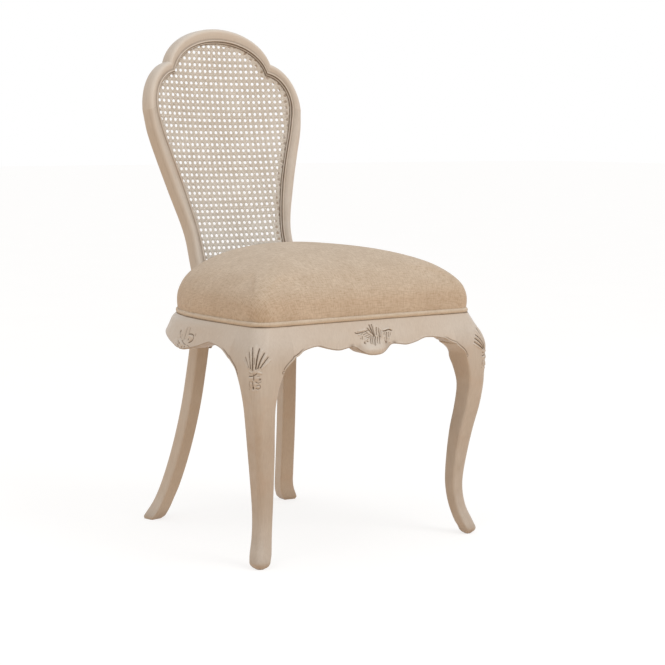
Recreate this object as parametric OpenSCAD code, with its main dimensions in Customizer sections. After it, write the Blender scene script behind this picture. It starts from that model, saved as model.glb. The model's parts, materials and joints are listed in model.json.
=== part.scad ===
// Side chair with a cane back and an upholstered seat.
// The origin is on the floor under the middle of the plan, +X is the chair's right, the front faces -Y.

/* [Seat frame] */
// Width of the seat across its front corners
seat_w = 506; // [480:1:530]
// Distance from the middle of the plan to the front of the seat
seat_front = 250; // [240:1:262]
// Radius of the seat's front corners
corner_r = 27; // [26:1:32]
// Hollow of the front line at its middle
front_hollow = 2.5; // [0:0.5:5]
// Height of the top of the rails
rail_top = 431.5; // [413:0.5:448]
// Thickness of the front and side rails at their top
rail_t = 22; // [19:0.5:25]
// Thickness of a side rail where it meets the rear post
rail_end_t = 17; // [15:0.5:18]
// Size of a front leg's block, from the corner to the rail
block = 62; // [56:1:68]
// Reach of the side rail's curve, straight back from the block
side_reach = 120; // [90:1:140]
// Reach of the side rail's curve, outwards from the rear post
side_swing = 129; // [115:1:140]
// Set forward of that outer reach, from the rail's end
side_ease = 36; // [25:1:45]
// Share of the knee's swell that the front rail keeps at its middle
front_flare = 0.5; // [0.3:0.05:0.8]
// Fullness of a side rail behind its middle, against the knee's swell
side_fullness = 1.25; // [1:0.05:1.4]
// Depth of the front rail at its middle lobe
lobe_drop = 62.5; // [56:0.5:66]
// Depth of the front rail beside that lobe
wave_drop = 45.5; // [42:0.5:48]
// Depth of a side rail at its lobe
side_lobe = 57; // [50:0.5:60]
// Depth of a side rail behind its lobe
side_drop = 38.5; // [36:0.5:42]

/* [Front legs] */
// Swell of the knee beyond the corner of the seat
knee_out = 24.2; // [18:0.2:28]
// Drawing in of the ankle behind the corner of the seat
ankle_in = 8; // [4:0.5:12]
// Spread of the toe beyond the corner of the seat
toe_out = 10.5; // [6:0.5:14]
// Width of the ankle's section
ankle_w = 29; // [26:0.5:33]
// Radius of the leg's outer corner at the ankle
shin_r = 11; // [9:0.5:13]
// Radius of the leg's inner corner, behind the knee
knee_hollow_r = 28; // [14:1:32]
// Rounding of the toe above its sole
toe_round = 13; // [9:0.5:15]

/* [Rear posts] */
// Turn of each rear post towards the middle
post_turn = 8; // [6:0.5:10]
// Width of a rear post
post_w = 30.2; // [27:0.2:31]
// Thickness of a rear post
post_t = 29.5; // [27:0.5:31]
// Distance of a rear post from the middle, across its own face
post_x = 87.5; // [84:0.5:91]
// Thickness of the rear rail
rear_rail_t = 21; // [18:1:24]
// Height of the rear rail's lower edge at its ends
rear_rail_low = 349; // [342:1:358]
// Rise of the rear rail's arch
rear_rail_rise = 28; // [12:1:34]

/* [Back] */
// Rake of the back at the middle of the cane
back_rake = 11.7; // [10:0.1:13]
// Radius of the back's curve from side to side
back_r = 840; // [780:5:920]
// Radius of the back's curve from top to bottom
sweep_r = 1655; // [1550:5:1800]
// Distance of the cane's middle behind the middle of the plan
cane_y = 223; // [218:1:228]
// Height of the cane's middle above the seat rails
cane_z = 332.5; // [327.5:1:337.5]
// Half width of the opening at its shoulders
shoulder_w = 164.8; // [158:0.2:170]
// Height of the shoulders above the cane's middle
shoulder_v = 60; // [54:1:64]
// Half width of the opening at its waist
waist_w = 101; // [98:0.5:104]
// Height of the opening's top above the cane's middle
crown_v = 193; // [188:1:200]
// Half width of the opening at the notch
notch_w = 113.8; // [110:0.2:117]
// Height of the notch above the cane's middle
notch_v = 129.4; // [126:0.2:133]
// Depth of the opening's foot below the cane's middle
foot_v = 262; // [256:1:266]
// Width of the moulding at the shoulders
side_face = 21.7; // [20:0.1:24]
// Width of the moulding at the crown
crown_face = 26.3; // [24:0.1:29]
// Thickness of the back frame
frame_t = 28; // [26:0.5:30]
// Depth of the cane behind the frame's face
rebate = 5.7; // [5:0.1:7]
// Width of the ledge that the cane lies on
ledge = 4; // [3.5:0.1:5]

/* [Cane] */
// Thickness of the woven cane
cane_t = 1.6; // [1.2:0.1:2]
// Pitch of the gaps
cane_pitch = 24.8; // [24:0.1:30]
// Width of a gap
cane_gap = 15; // [10:0.1:18]
// Width of the spline that holds the cane
spline_w = 3; // [2.4:0.1:3.3]
// Height of the spline
spline_h = 3; // [2.4:0.1:3.6]

/* [Upholstery] */
// Thickness of the seat board
board_t = 12; // [9:0.5:18]
// Height of the cushion's sides, from the rails to the start of the crown
dome_h = 100; // [85:1:110]
// Rise of the crown above that
crown_h = 28.6; // [15:0.2:36]
// Height at which the sides are fullest
full_h = 25; // [18:1:32]
// Drawing in of the sides at the piping
draw_in = 5; // [3:0.5:6]
// Thickness of the cover
cover_t = 1.4; // [1:0.1:2]
// Width of the cover's hem under the board
hem_w = 16; // [12:1:16]
// Diameter of the piping
piping_d = 7; // [5:0.2:8]
// Thickness of the dust cover
dust_t = 0.8; // [0.5:0.1:1]
// Gap between the hem and the dust cover
dust_gap = 1.5; // [0.5:0.5:3]

/* [Joinery] */
// Diameter of the dowels
dowel_d = 8; // [6:0.5:9]
// Length of a dowel in a front leg or a rail
dowel_grip = 20; // [14:1:24]
// Length of a dowel in a rear post
post_grip = 12; // [9:0.5:13]
// Depth of the upper dowels' middle below the rails' top
dowel_drop = 13; // [11:0.5:14]
// Spacing of the two dowels of a joint
dowel_pitch = 19; // [16:0.5:20]
// Depth of the upper dowel between a side rail and a rear post
post_dowel_drop = 10; // [9:0.5:11]
// Spacing of the two dowels between a side rail and a rear post
post_dowel_pitch = 14; // [12:0.5:15]
// Height of the corner blocks
corner_h = 28; // [22:1:32]
// Reach of a corner block along the rails
corner_reach = 78; // [68:1:84]
// Diameter of the screws
screw_d = 4.5; // [3.5:0.1:5.5]
// Diameter of the screws' heads
head_d = 9; // [8:0.2:10]
// Height of the screws' heads
head_h = 3; // [2.4:0.1:3.5]
// Clearance of pieces that are fitted together
fit = 0.2; // [0.1:0.05:0.3]
// Gap between a piece and the curved one that it lies against
gap = 0.3; // [0.2:0.05:0.5]

/* [Hidden] */

PAINT = "#cdbda9";
BEECH = "#c9a472";
CANE = "#cfc2b2";
LINEN = "#c4a98b";
CORD = "#cdb697";
STEEL = "#9a9a98";

half_w = seat_w / 2;
block_x = half_w - block;
block_y = -(seat_front - block);
eps = 0.01;

// Numbers and curves
function mix(a, b, t) = a + (b - a) * t;
function clamp01(t) = min(1, max(0, t));
function ease(t) = let (c = clamp01(t)) c * c * (3 - 2 * c);
function unit(v) = v / norm(v);

// Value at x of a smooth curve through the rows [x, value, ...] of a table, in column c
function row_of(t, x, i = 0) = i >= len(t) - 2 || x < t[i + 1][0] ? i : row_of(t, x, i + 1);
function rise(t, i, c) =
    let (a = max(0, i - 1), b = min(len(t) - 1, i + 1))
    (t[b][c] - t[a][c]) / (t[b][0] - t[a][0]);
function curve(t, x, c = 1) =
    let (
        i = row_of(t, x),
        h = t[i + 1][0] - t[i][0],
        k = clamp01((x - t[i][0]) / h)
    )
    (2 * k ^ 3 - 3 * k ^ 2 + 1) * t[i][c]
    + (k ^ 3 - 2 * k ^ 2 + k) * h * rise(t, i, c)
    + (3 * k ^ 2 - 2 * k ^ 3) * t[i + 1][c]
    + (k ^ 3 - k ^ 2) * h * rise(t, i + 1, c);

function mean(ring) = [for (k = [0:2]) [for (p = ring) p[k]] * [for (p = ring) 1] / len(ring)];

// Solid through a list of rings of equal count, listed counterclockwise as seen from the last ring
module loft(rings) {
    n = len(rings[0]);
    m = len(rings);
    points = concat([for (r = rings) each r], [mean(rings[0]), mean(rings[m - 1])]);
    skin = [
        for (i = [0:m - 2], j = [0:n - 1])
        let (a = i * n + j, b = i * n + (j + 1) % n)
        each [[a, a + n, b + n], [a, b + n, b]]
    ];
    foot = [for (j = [0:n - 1]) [m * n, j, (j + 1) % n]];
    head = [for (j = [0:n - 1]) [m * n + 1, (m - 1) * n + (j + 1) % n, (m - 1) * n + j]];
    polyhedron(points, concat(skin, foot, head));
}

// Closed tube through a loop of rings
module hoop(rings) {
    n = len(rings[0]);
    m = len(rings);
    polyhedron(
        [for (r = rings) each r],
        [
            for (i = [0:m - 1], j = [0:n - 1])
            let (
                k = (i + 1) % m,
                next = (j + 1) % n,
                a = i * n + j,
                b = i * n + next,
                c = k * n + j,
                d = k * n + next
            )
            each [[a, c, d], [a, d, b]]
        ]
    );
}

module mirrored(flip) {
    if (flip) mirror([1, 0, 0]) children();
    else children();
}

// Cylinder from point a along direction v
module rod(a, v, length, d) {
    translate(a)
        rotate([0, acos(v[2] / norm(v)), atan2(v[1], v[0])])
            cylinder(h = length, d = d, $fn = 24);
}

// Plan of the seat

// Point across and behind the middle, on the axes of the turned rear post
function turned(across, behind) = [
    across * cos(post_turn) + behind * sin(post_turn),
    behind * cos(post_turn) - across * sin(post_turn)
];
across_dir = turned(1, 0);
behind_dir = turned(0, 1);

post_out = post_x + post_w / 2;
post_in = post_x - post_w / 2;

// Centre of the rear post: height, distance across, distance behind
POST = [
    [0, post_x + 47, 258],
    [30, post_x + 33, 246.5],
    [75, post_x + 23.8, 228.5],
    [150, post_x + 14.3, 205.7],
    [rail_top - 198, post_x + 6.3, 187],
    [rail_top - 118, post_x + 0.9, 174.6],
    [rail_top - 83, post_x, 168.8],
    [rail_top - 48, post_x, 162.2],
    [rail_top - 8, post_x, 156.4],
    [rail_top + 32, post_x, 155.2],
    [rail_top + 72, post_x, 162.1]
];
function post_behind(z) = curve(POST, z, 2);

rail_mid = rail_top - 28;
end_behind = post_behind(rail_mid) + 2.5;
rail_end = turned(post_out, end_behind);
side_start = [half_w, block_y];
side_bend = side_start + [0, side_reach];
side_turn = rail_end + [side_swing, -side_ease];

// Side line of the seat, from the front leg's block to the rear post
function side_line(s) =
    side_start * (1 - s) ^ 3 + side_bend * 3 * s * (1 - s) ^ 2
    + side_turn * 3 * s ^ 2 * (1 - s) + rail_end * s ^ 3;
function side_tangent(s) =
    (side_bend - side_start) * (1 - s) ^ 2 + (side_turn - side_bend) * 2 * s * (1 - s)
    + (rail_end - side_turn) * s ^ 2;
// Direction across the side rail: square to it, and along the post's face at its end
function side_out(s) =
    let (t = side_tangent(s))
    unit(mix(unit([t[1], -t[0]]), behind_dir, ease((s - 0.8) / 0.2)));
function side_thick(s) = mix(rail_t, rail_end_t, ease((s - 0.6) / 0.4));
function side_inner(s, free = 0) = side_line(s) - side_out(s) * (side_thick(s) + free);

// Front line of the seat, hollow between the leg blocks
function front_line(x) = -seat_front + front_hollow * max(0, 1 - (x / block_x) ^ 2);

rear_y = turned(post_in, post_behind(rail_mid))[1] + 2;
seat_rear = rear_y + rear_rail_t / 2;

// Right half of the seat's outline, from the middle of the front to the middle of the rear
function half_outline(n_front, n_corner, n_side) = concat(
    [for (k = [0:n_front]) let (x = (half_w - corner_r) * k / n_front) [x, front_line(x)]],
    [
        for (k = [1:n_corner])
        let (a = 90 * k / n_corner)
        [half_w - corner_r * (1 - sin(a)), -seat_front + corner_r * (1 - cos(a))]
    ],
    [for (k = [0:n_side]) side_line(k / n_side)],
    [[rail_end[0] * 0.6, mix(rail_end[1], seat_rear, 0.8)], [0, seat_rear]]
);
function both_halves(h) = concat(
    h,
    [for (k = [len(h) - 2:-1:1]) [-h[k][0], h[k][1]]]
);
function inward(loop, k, amount) =
    let (
        n = len(loop),
        t = loop[(k + 1) % n] - loop[(k + n - 1) % n]
    )
    loop[k] + unit([-t[1], t[0]]) * amount;
function inset(loop, amount) = [for (k = [0:len(loop) - 1]) inward(loop, k, amount)];

seat_loop = both_halves(half_outline(5, 4, 13));
core_loop = both_halves(half_outline(5, 3, 8));

// Front legs

// Swell of the leg's outer faces beyond the seat's corner, by height
SWELL = [
    [0, toe_out + 1],
    [12, toe_out],
    [24, toe_out - 4],
    [52, -ankle_in * 0.4],
    [82, -ankle_in],
    [112, -ankle_in],
    [rail_top - 268, -2],
    [rail_top - 223, 5],
    [rail_top - 178, knee_out * 0.56],
    [rail_top - 138, knee_out * 0.83],
    [rail_top - 108, knee_out * 0.95],
    [rail_top - 76, knee_out],
    [rail_top - 57, knee_out * 0.97],
    [rail_top - 37, knee_out * 0.75],
    [rail_top - 18, knee_out * 0.39],
    [rail_top, 1.2]
];
function swell(z) = curve(SWELL, z);

// Inner faces of the leg, inside the seat's corner
block_low = rail_top - 55;
INNER = [
    [0, ankle_w + 1 - toe_out],
    [12, ankle_w + 1 - toe_out],
    [24, ankle_w + 2 - toe_out + 4],
    [52, ankle_w + ankle_in * 0.4],
    [82, ankle_w + ankle_in],
    [112, ankle_w + ankle_in + 1.5],
    [rail_top - 268, ankle_w + 7.4],
    [rail_top - 223, ankle_w + 3.7],
    [rail_top - 178, ankle_w - 2.2],
    [rail_top - 138, ankle_w - 5],
    [rail_top - 108, ankle_w - 0.5],
    [rail_top - 83, ankle_w + 7],
    [rail_top - 70, ankle_w + 14],
    [block_low, block]
];
function leg_inner(z) = z >= block_low ? block : min(block, curve(INNER, z));
// Drawing in of every face towards the sole
function sole(z) =
    let (low = max(0.6, z))
    low >= toe_round ? 0 : toe_round - sqrt(toe_round ^ 2 - (toe_round - low) ^ 2);
function outer_r(z) = mix(shin_r, corner_r, ease((z - rail_top + 190) / 120));
function edge_r(z) = mix(5, 0.6, ease((z - block_low + 60) / 60));
function hollow_r(z) =
    z < block_low
    ? mix(9, knee_hollow_r, ease((z - block_low + 30) / 30))
    : mix(knee_hollow_r, 2, ease((z - block_low - 8) / 30));

function arc_points(c, r, from, steps) = [
    for (k = [0:steps]) c + r * [cos(from + 90 * k / steps), sin(from + 90 * k / steps)]
];
function leg_ring(z) =
    let (
        o = swell(z) - sole(z),
        i = leg_inner(z) - sole(z),
        x1 = half_w + o,
        y1 = -seat_front - o,
        x0 = half_w - i,
        y0 = -seat_front + i,
        R = min(outer_r(z), 0.5 * (o + i)),
        r = min(edge_r(z), 0.3 * (o + i)),
        h = min(hollow_r(z), 0.5 * (o + i))
    )
    [
        for (p = concat(
            arc_points([x1 - R, y1 + R], R, -90, 6),
            arc_points([x1 - r, y0 - r], r, 0, 2),
            arc_points([x0 + h, y0 - h], h, 90, 3),
            arc_points([x0 + r, y1 + r], r, 180, 2)
        ))
        [p[0], p[1], z]
    ];
LEG_Z = concat(
    [0, 2, 5, 9, 15, 24, 34],
    [for (z = [48:19:rail_top - 130]) z],
    [for (d = [114:-12:58]) rail_top - d],
    [for (d = [55, 47, 37, 27, 18, 9, 0]) rail_top - d]
);

module front_leg(flip) {
    color(PAINT) mirrored(flip) difference() {
        loft([for (z = LEG_Z) leg_ring(z)]);
        front_dowels(fit);
        side_dowels(fit);
    }
}

// Rails

// Lower edge of the front rail, by distance from the middle
FRONT_EDGE = [
    [0, rail_top - lobe_drop],
    [block_x * 0.126, rail_top - lobe_drop + 1.5],
    [block_x * 0.173, rail_top - mix(wave_drop, lobe_drop, 0.53)],
    [block_x * 0.236, rail_top - wave_drop],
    [block_x * 0.314, rail_top - wave_drop - 1],
    [block_x * 0.419, rail_top - wave_drop - 3.5],
    [block_x * 0.545, rail_top - wave_drop + 0.5],
    [block_x * 0.67, rail_top - wave_drop + 7],
    [block_x * 0.869, rail_top - wave_drop + 2.5],
    [block_x * 0.937, rail_top - wave_drop - 4],
    [block_x, rail_top - wave_drop - 8.5]
];
// Lower edge of a side rail, by position along it
SIDE_EDGE = [
    [0, rail_top - side_drop - 18.5],
    [0.06, rail_top - side_drop - 4.5],
    [0.14, rail_top - side_drop + 4.5],
    [0.22, rail_top - side_drop + 0.5],
    [0.29, rail_top - mix(side_drop, side_lobe, 0.51)],
    [0.38, rail_top - side_lobe],
    [0.48, rail_top - mix(side_drop, side_lobe, 0.6)],
    [0.6, rail_top - side_drop],
    [0.75, rail_top - side_drop + 5],
    [1, rail_top - side_drop + 5.5]
];
face_steps = 6;

// Ring of a rail, from its base point on the seat's line, the direction outwards, the lower edge,
// the thickness and the share of the knee's swell
function rail_ring(base, out, low, thick, share) =
    let (inner = base - out * thick)
    concat(
        [[inner[0], inner[1], low + 1.5], [inner[0], inner[1], rail_top]],
        [
            for (k = [0:face_steps])
            let (
                z = mix(rail_top, low + 1.5 * (k == face_steps ? 0 : 1), k / face_steps),
                p = base + out * swell(z) * share
            )
            [p[0], p[1], z]
        ]
    );
function front_share(x) = mix(front_flare, 1, ease((abs(x) - block_x * 0.55) / (block_x * 0.45)));
function side_share(s) =
    let (full = mix(1, side_fullness, ease((s - 0.25) / 0.35)))
    mix(full, 0.28, ease((s - 0.78) / 0.22));

module front_rail() {
    steps = 48;
    color(PAINT) difference() {
        loft([
            for (k = [0:steps])
            let (
                x = mix(-block_x, block_x, k / steps),
                y = front_line(x),
                thick = rail_t - y - seat_front
            )
            rail_ring([x, y], [0, -1], curve(FRONT_EDGE, abs(x)), thick, front_share(x))
        ]);
        for (flip = [false, true]) mirrored(flip) {
            front_dowels(fit);
            front_block_screws(fit);
        }
    }
}

module side_rail(flip) {
    steps = 32;
    color(PAINT) mirrored(flip) difference() {
        loft([
            for (k = [0:steps])
            let (s = k / steps)
            rail_ring(side_line(s), side_out(s), curve(SIDE_EDGE, s), side_thick(s), side_share(s))
        ]);
        side_dowels(fit);
        post_dowels(fit);
        front_block_screws(fit);
        rear_block_screws(fit);
    }
}

// Space between the inner faces of the two rear posts
module between_posts(y0, y1, z0, z1) {
    function face_x(y) = (post_in + y * sin(post_turn)) / cos(post_turn);
    translate([0, 0, z0])
        linear_extrude(z1 - z0)
            polygon([[-face_x(y0), y0], [face_x(y0), y0], [face_x(y1), y1], [-face_x(y1), y1]]);
}

module rear_rail() {
    y0 = rear_y - rear_rail_t / 2;
    y1 = rear_y + rear_rail_t / 2;
    arch_w = 2 * post_in - 6;
    arch_r = (arch_w ^ 2 / 4 + rear_rail_rise ^ 2) / (2 * rear_rail_rise);
    color(PAINT) difference() {
        between_posts(y0, y1, rear_rail_low, rail_top);
        translate([0, y0 - 1, rear_rail_low + rear_rail_rise - arch_r])
            rotate([-90, 0, 0])
                cylinder(h = rear_rail_t + 2, r = arch_r, $fn = 90);
        for (flip = [false, true]) mirrored(flip) {
            rear_rail_dowels(fit);
            rear_block_screws(fit);
        }
    }
}

// Back

// Height of the cane's middle above the floor
cane_mid_z = rail_top + cane_z;

// Point of the back: u across, v up, d in front of the cane
function back_point(u, v, d) =
    let (
        a = u / back_r * 180 / PI,
        sag = back_r * (1 - cos(a)),
        bow = v ^ 2 / (2 * sweep_r),
        s = sin(back_rake),
        c = cos(back_rake),
        across = [cos(a), -sin(a) * c, sin(a) * s],
        up = unit([0, s - v / sweep_r * c, c + v / sweep_r * s])
    )
    [
        back_r * sin(a),
        cane_y + v * s - (sag + bow) * c,
        cane_mid_z + v * c + (sag + bow) * s
    ] + cross(across, up) * d;

// Half width of the opening and of the whole back below the shoulders, by height
STILE = [
    [-foot_v, waist_w, waist_w + 22.4],
    [-190, waist_w + 2, waist_w + 22.4 + 0.8],
    [-103, mix(waist_w, shoulder_w, 0.31), mix(waist_w, shoulder_w, 0.31) + 26.5],
    [-40, mix(waist_w, shoulder_w, 0.6), mix(waist_w, shoulder_w, 0.6) + 27],
    [10, mix(waist_w, shoulder_w, 0.85), mix(waist_w, shoulder_w, 0.85) + 25.5],
    [shoulder_v - 8, shoulder_w, shoulder_w + side_face]
];
// Centre of the shoulders' curves across the back, and how much lower the outer one starts
shoulder_u = 103.3;
outer_lower = 8.4;
// Outer notch, and the centres of the crown's inner and outer curves up the back
outer_notch = [124.4, 149.7];
crown_mid = crown_v - 77.5;
outer_crown_mid = crown_v + crown_face - 90.4;

// Point of an ellipse at angle a, centred on [u, v], that passes through p and has one half axis known
function shoulder_at(p, v, w, k) =
    let (
        full = acos((p[0] - shoulder_u) / (w - shoulder_u)),
        high = (p[1] - v) / sin(full),
        a = full * k
    )
    [shoulder_u + (w - shoulder_u) * cos(a), v + high * sin(a)];
function crown_at(p, v, top, k) =
    let (
        from = asin((p[1] - v) / (top - v)),
        w = p[0] / cos(from),
        a = mix(from, 90, k)
    )
    [w * cos(a), v + (top - v) * sin(a)];

inner_notch = [notch_w, notch_v];
shoulder_steps = 8;
crown_steps = 12;
// Pairs of inner and outer points over the right half of the crest, from the stile to the top
crest_pairs = concat(
    [
        for (k = [0:shoulder_steps])
        let (t = k / shoulder_steps)
        [
            shoulder_at(inner_notch, shoulder_v, shoulder_w, t),
            shoulder_at(outer_notch, shoulder_v - outer_lower, shoulder_w + side_face, t)
        ]
    ],
    [
        for (k = [1:crown_steps])
        let (t = k / crown_steps)
        [
            crown_at(inner_notch, crown_mid, crown_v, t),
            crown_at(outer_notch, outer_crown_mid, crown_v + crown_face, t)
        ]
    ]
);
stile_steps = 16;
stile_pairs = concat(
    [
        for (k = [0:stile_steps - 1])
        let (v = mix(-foot_v, shoulder_v - 8, k / stile_steps))
        [[curve(STILE, v, 1), v], [curve(STILE, v, 2), v]]
    ],
    [crest_pairs[0]]
);

ledge_d = rebate + cane_t / 2 + fit;
// Section of the moulded frame, from the ledge over the front to the rear: across, depth from the face
function moulding(w) = [
    [-ledge, -ledge_d],
    [0, -ledge_d],
    [0, -1.8],
    [1.4, -0.3],
    [3.4, -0.6],
    [5, -2.4],
    [8, -2.9],
    [w * 0.5, -1.1],
    [w - 8.5, 0],
    [w - 4.5, -0.7],
    [w - 1.4, -3.6],
    [w, -8],
    [w - 0.5, -frame_t + 3],
    [w - 3.5, -frame_t],
    [-ledge + 3, -frame_t],
    [-ledge, -frame_t + 3]
];
// The same count of points round a plain square post
function plain(w, t) = [
    [0, -8], [0, -5.5], [0, -3], [0.9, -0.9], [3, 0], [w * 0.3, 0], [w * 0.42, 0], [w * 0.55, 0],
    [w * 0.7, 0], [w - 3, 0], [w - 0.9, -0.9], [w, -3],
    [w, -t + 3], [w - 3, -t], [3, -t], [0, -t + 3]
];
function frame_ring(pair) =
    let (w = norm(pair[1] - pair[0]))
    [
        for (p = moulding(w))
        let (q = mix(pair[0], pair[1], p[0] / w))
        back_point(q[0], q[1], rebate + p[1])
    ];
function post_ring(z) =
    let (
        across = curve(POST, z, 1),
        behind = curve(POST, z, 2),
        toe = 1 - 0.2 * (1 - ease(z / 6)),
        flare = toe * (1 + 0.12 * (1 - ease((z - 6) / 40)))
    )
    [
        for (p = plain(post_w, post_t))
        let (q = turned(across + (p[0] - post_w / 2) * flare, behind - (p[1] + post_t / 2) * flare))
        [q[0], q[1], z]
    ];
POST_Z = concat(
    [0, 3, 6, 14, 24],
    [for (z = [38:22:rail_top - 20]) z],
    [for (d = [0, 16, 32, 46, 58]) rail_top + d]
);

module rear_post(flip) {
    color(PAINT) mirrored(flip) difference() {
        loft(concat(
            [for (z = POST_Z) post_ring(z)],
            [for (p = stile_pairs) frame_ring(p)]
        ));
        post_dowels(fit);
        rear_rail_dowels(fit);
        crest_dowel(fit);
        lower_dowel(fit);
    }
}

module crest_rail() {
    right = [for (p = crest_pairs) frame_ring(p)];
    left = [
        for (k = [len(right) - 2:-1:0])
        [for (p = right[k]) [-p[0], p[1], p[2]]]
    ];
    color(PAINT) difference() {
        loft(concat(right, left));
        for (flip = [false, true]) mirrored(flip) crest_dowel(fit);
    }
}

lower_h = 34;
// Rail under the opening, behind the cushion
module back_lower_rail() {
    steps = 8;
    reach = waist_w + 2;
    section = [
        [-foot_v - lower_h, rebate], [-foot_v - lower_h, rebate - frame_t],
        [-foot_v + ledge, rebate - frame_t], [-foot_v + ledge, rebate - ledge_d],
        [-foot_v, rebate - ledge_d], [-foot_v, rebate]
    ];
    color(PAINT) difference() {
        intersection() {
            loft([
                for (k = [0:steps])
                let (u = mix(-reach, reach, k / steps))
                [for (p = section) back_point(u, p[0], p[1])]
            ]);
            between_posts(rear_y - 60, rear_y + 60, rail_top, cane_mid_z);
        }
        for (flip = [false, true]) mirrored(flip) lower_dowel(fit);
    }
}

// Cane

// Edge of the opening on the right, from its foot to its top, moved inwards
function moved_in(pair, free) = pair[0] - unit(pair[1] - pair[0]) * free;
function opening_half(free, skip) = concat(
    [[0, -foot_v + free]],
    [[stile_pairs[0][0][0] - free, -foot_v + free]],
    [for (k = [skip:skip:stile_steps]) moved_in(stile_pairs[k], free)],
    [for (k = [skip:skip:len(crest_pairs) - 1]) moved_in(crest_pairs[k], free)]
);
function opening_loop(free, skip = 1) = both_halves(opening_half(free, skip));

// Lines on both sides of each band of cane, for bands at whole pitches from a start
function cane_lines(start, first, last) =
    let (half = (cane_pitch - cane_gap) / 2)
    [for (k = [first:last]) each [start + k * cane_pitch - half, start + k * cane_pitch + half]];

// Sheet with square gaps that reaches past the opening all round, before it is cut
module cane_sheet() {
    wide = ceil(shoulder_w / cane_pitch);
    up = cane_pitch * 0.3;
    us = cane_lines(0, -wide, wide);
    vs = cane_lines(up, -ceil((foot_v + up) / cane_pitch), ceil(crown_v / cane_pitch));
    nu = len(us);
    nv = len(vs);
    layer = nu * nv;
    // Gaps lie between an odd line and the next one, both ways
    function solid(i, j) = i >= 0 && j >= 0 && i < nu - 1 && j < nv - 1 && !(i % 2 == 1 && j % 2 == 1);
    points = [
        for (d = [-cane_t / 2, cane_t / 2], j = [0:nv - 1], i = [0:nu - 1])
        back_point(us[i], vs[j], d)
    ];
    function id(i, j, side) = side * layer + j * nu + i;
    sheets = [
        for (j = [0:nv - 2], i = [0:nu - 2])
        if (solid(i, j))
        let (a = id(i, j, 0), b = id(i + 1, j, 0), c = id(i, j + 1, 0), d = id(i + 1, j + 1, 0))
        each [
            [a, b, d], [a, d, c],
            [a + layer, d + layer, b + layer], [a + layer, c + layer, d + layer]
        ]
    ];
    // Walls stand along an edge that has cane on one side only
    walls_u = [
        for (j = [0:nv - 1], i = [0:nu - 2])
        if (solid(i, j) != solid(i, j - 1))
        let (a = id(i, j, 0), b = id(i + 1, j, 0))
        each solid(i, j)
        ? [[a, a + layer, b + layer], [a, b + layer, b]]
        : [[a, b + layer, a + layer], [a, b, b + layer]]
    ];
    walls_v = [
        for (j = [0:nv - 2], i = [0:nu - 1])
        if (solid(i, j) != solid(i - 1, j))
        let (a = id(i, j, 0), c = id(i, j + 1, 0))
        each solid(i, j)
        ? [[a, c + layer, a + layer], [a, c, c + layer]]
        : [[a, a + layer, c + layer], [a, c + layer, c]]
    ];
    polyhedron(points, concat(sheets, walls_u, walls_v));
}

module cane_panel() {
    depth = 220;
    color(CANE) intersection() {
        cane_sheet();
        translate([0, cane_y + depth / 2, 0])
            rotate([90, 0, 0])
                linear_extrude(depth)
                    polygon([
                        for (p = opening_loop(gap, 2))
                        let (q = back_point(p[0], p[1], 0))
                        [q[0], q[2]]
                    ]);
    }
}

module cane_spline() {
    base = cane_t / 2 + fit;
    near = opening_loop(fit);
    far = opening_loop(fit + spline_w);
    color(PAINT) hoop([
        for (k = [0:len(near) - 1])
        let (a = near[k], b = far[k], m = mix(a, b, 0.5))
        [
            back_point(b[0], b[1], base),
            back_point(a[0], a[1], base),
            back_point(a[0], a[1], base + spline_h * 0.6),
            back_point(m[0], m[1], base + spline_h),
            back_point(b[0], b[1], base + spline_h * 0.5)
        ]
    ]);
}

// Upholstery

// Loop at a share of the way out from the seat's middle
dome_mid = [0, -3];
function dome_ring(loop, share, z) = [
    for (p = loop)
    let (q = mix(dome_mid, p, share))
    [q[0], q[1], z]
];
// Rings of a crowned cushion over a loop, from its foot to its crown, lower by a margin
function dome_rings(loop, foot, margin, steps) =
    concat(
        [
            for (z = [foot, rail_top + full_h / 2 + 4])
            let (k = clamp01((z - rail_top) / full_h))
            dome_ring(loop, 1 - draw_in / half_w * (1 - k) ^ 2, z)
        ],
        [
            for (k = [0:steps])
            let (
                a = mix(90, 4, k / steps),
                r = sin(a) ^ 0.828,
                h = (dome_h - full_h - margin) * max(0, cos(a)) ^ 0.692
            )
            dome_ring(loop, r, rail_top + full_h + h + crown_h * (1 - r ^ 2))
        ]
    );

module post_notches(free) {
    // The posts are straight above this height
    straight = rail_top + 68;
    for (flip = [false, true]) mirrored(flip) loft([
        for (rise = [-12, 22, 44, 60, 90, 130])
        let (
            z = rail_top + rise,
            behind = post_behind(min(z, straight)) + max(0, z - straight) * 0.36
        )
        [
            for (p = [[-1, -1], [1, -1], [1, 1], [-1, 1]])
            let (q = turned(
                post_x + p[0] * (post_w / 2 + free),
                behind + (p[1] < 0 ? -post_t / 2 - free : 60)
            ))
            [q[0], q[1], z]
        ]
    ]);
}

// Space behind the back's face, from under the lower rail upwards
module back_notch(free) {
    low = -foot_v - lower_h - free;
    high = -foot_v + 30;
    reach = waist_w + 6;
    loft([
        for (u = [-reach, 0, reach])
        [
            back_point(u, low, rebate + free), back_point(u, low, -60),
            back_point(u, high, -60), back_point(u, high, rebate + free)
        ]
    ]);
}

// Crowned solid over a loop, cut round the posts and the lower rail
module cushion(loop, foot, free, shrink, steps) {
    difference() {
        loft(dome_rings(loop, foot, shrink, steps));
        post_notches(free);
        back_notch(free);
    }
}

module seat_cover() {
    color(LINEN) difference() {
        cushion(seat_loop, rail_top, gap, 0, 8);
        cushion(inset(seat_loop, cover_t), rail_top + cover_t, gap + cover_t, cover_t, 5);
        translate([0, 0, rail_top - 1])
            linear_extrude(cover_t + 2)
                seat_plan(hem_w + draw_in, hem_w / 2);
    }
}

module seat_foam() {
    free = cover_t + gap;
    color("#e6dcbc") cushion(inset(core_loop, free), rail_top + cover_t + board_t, free + gap, free, 5);
}

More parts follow.
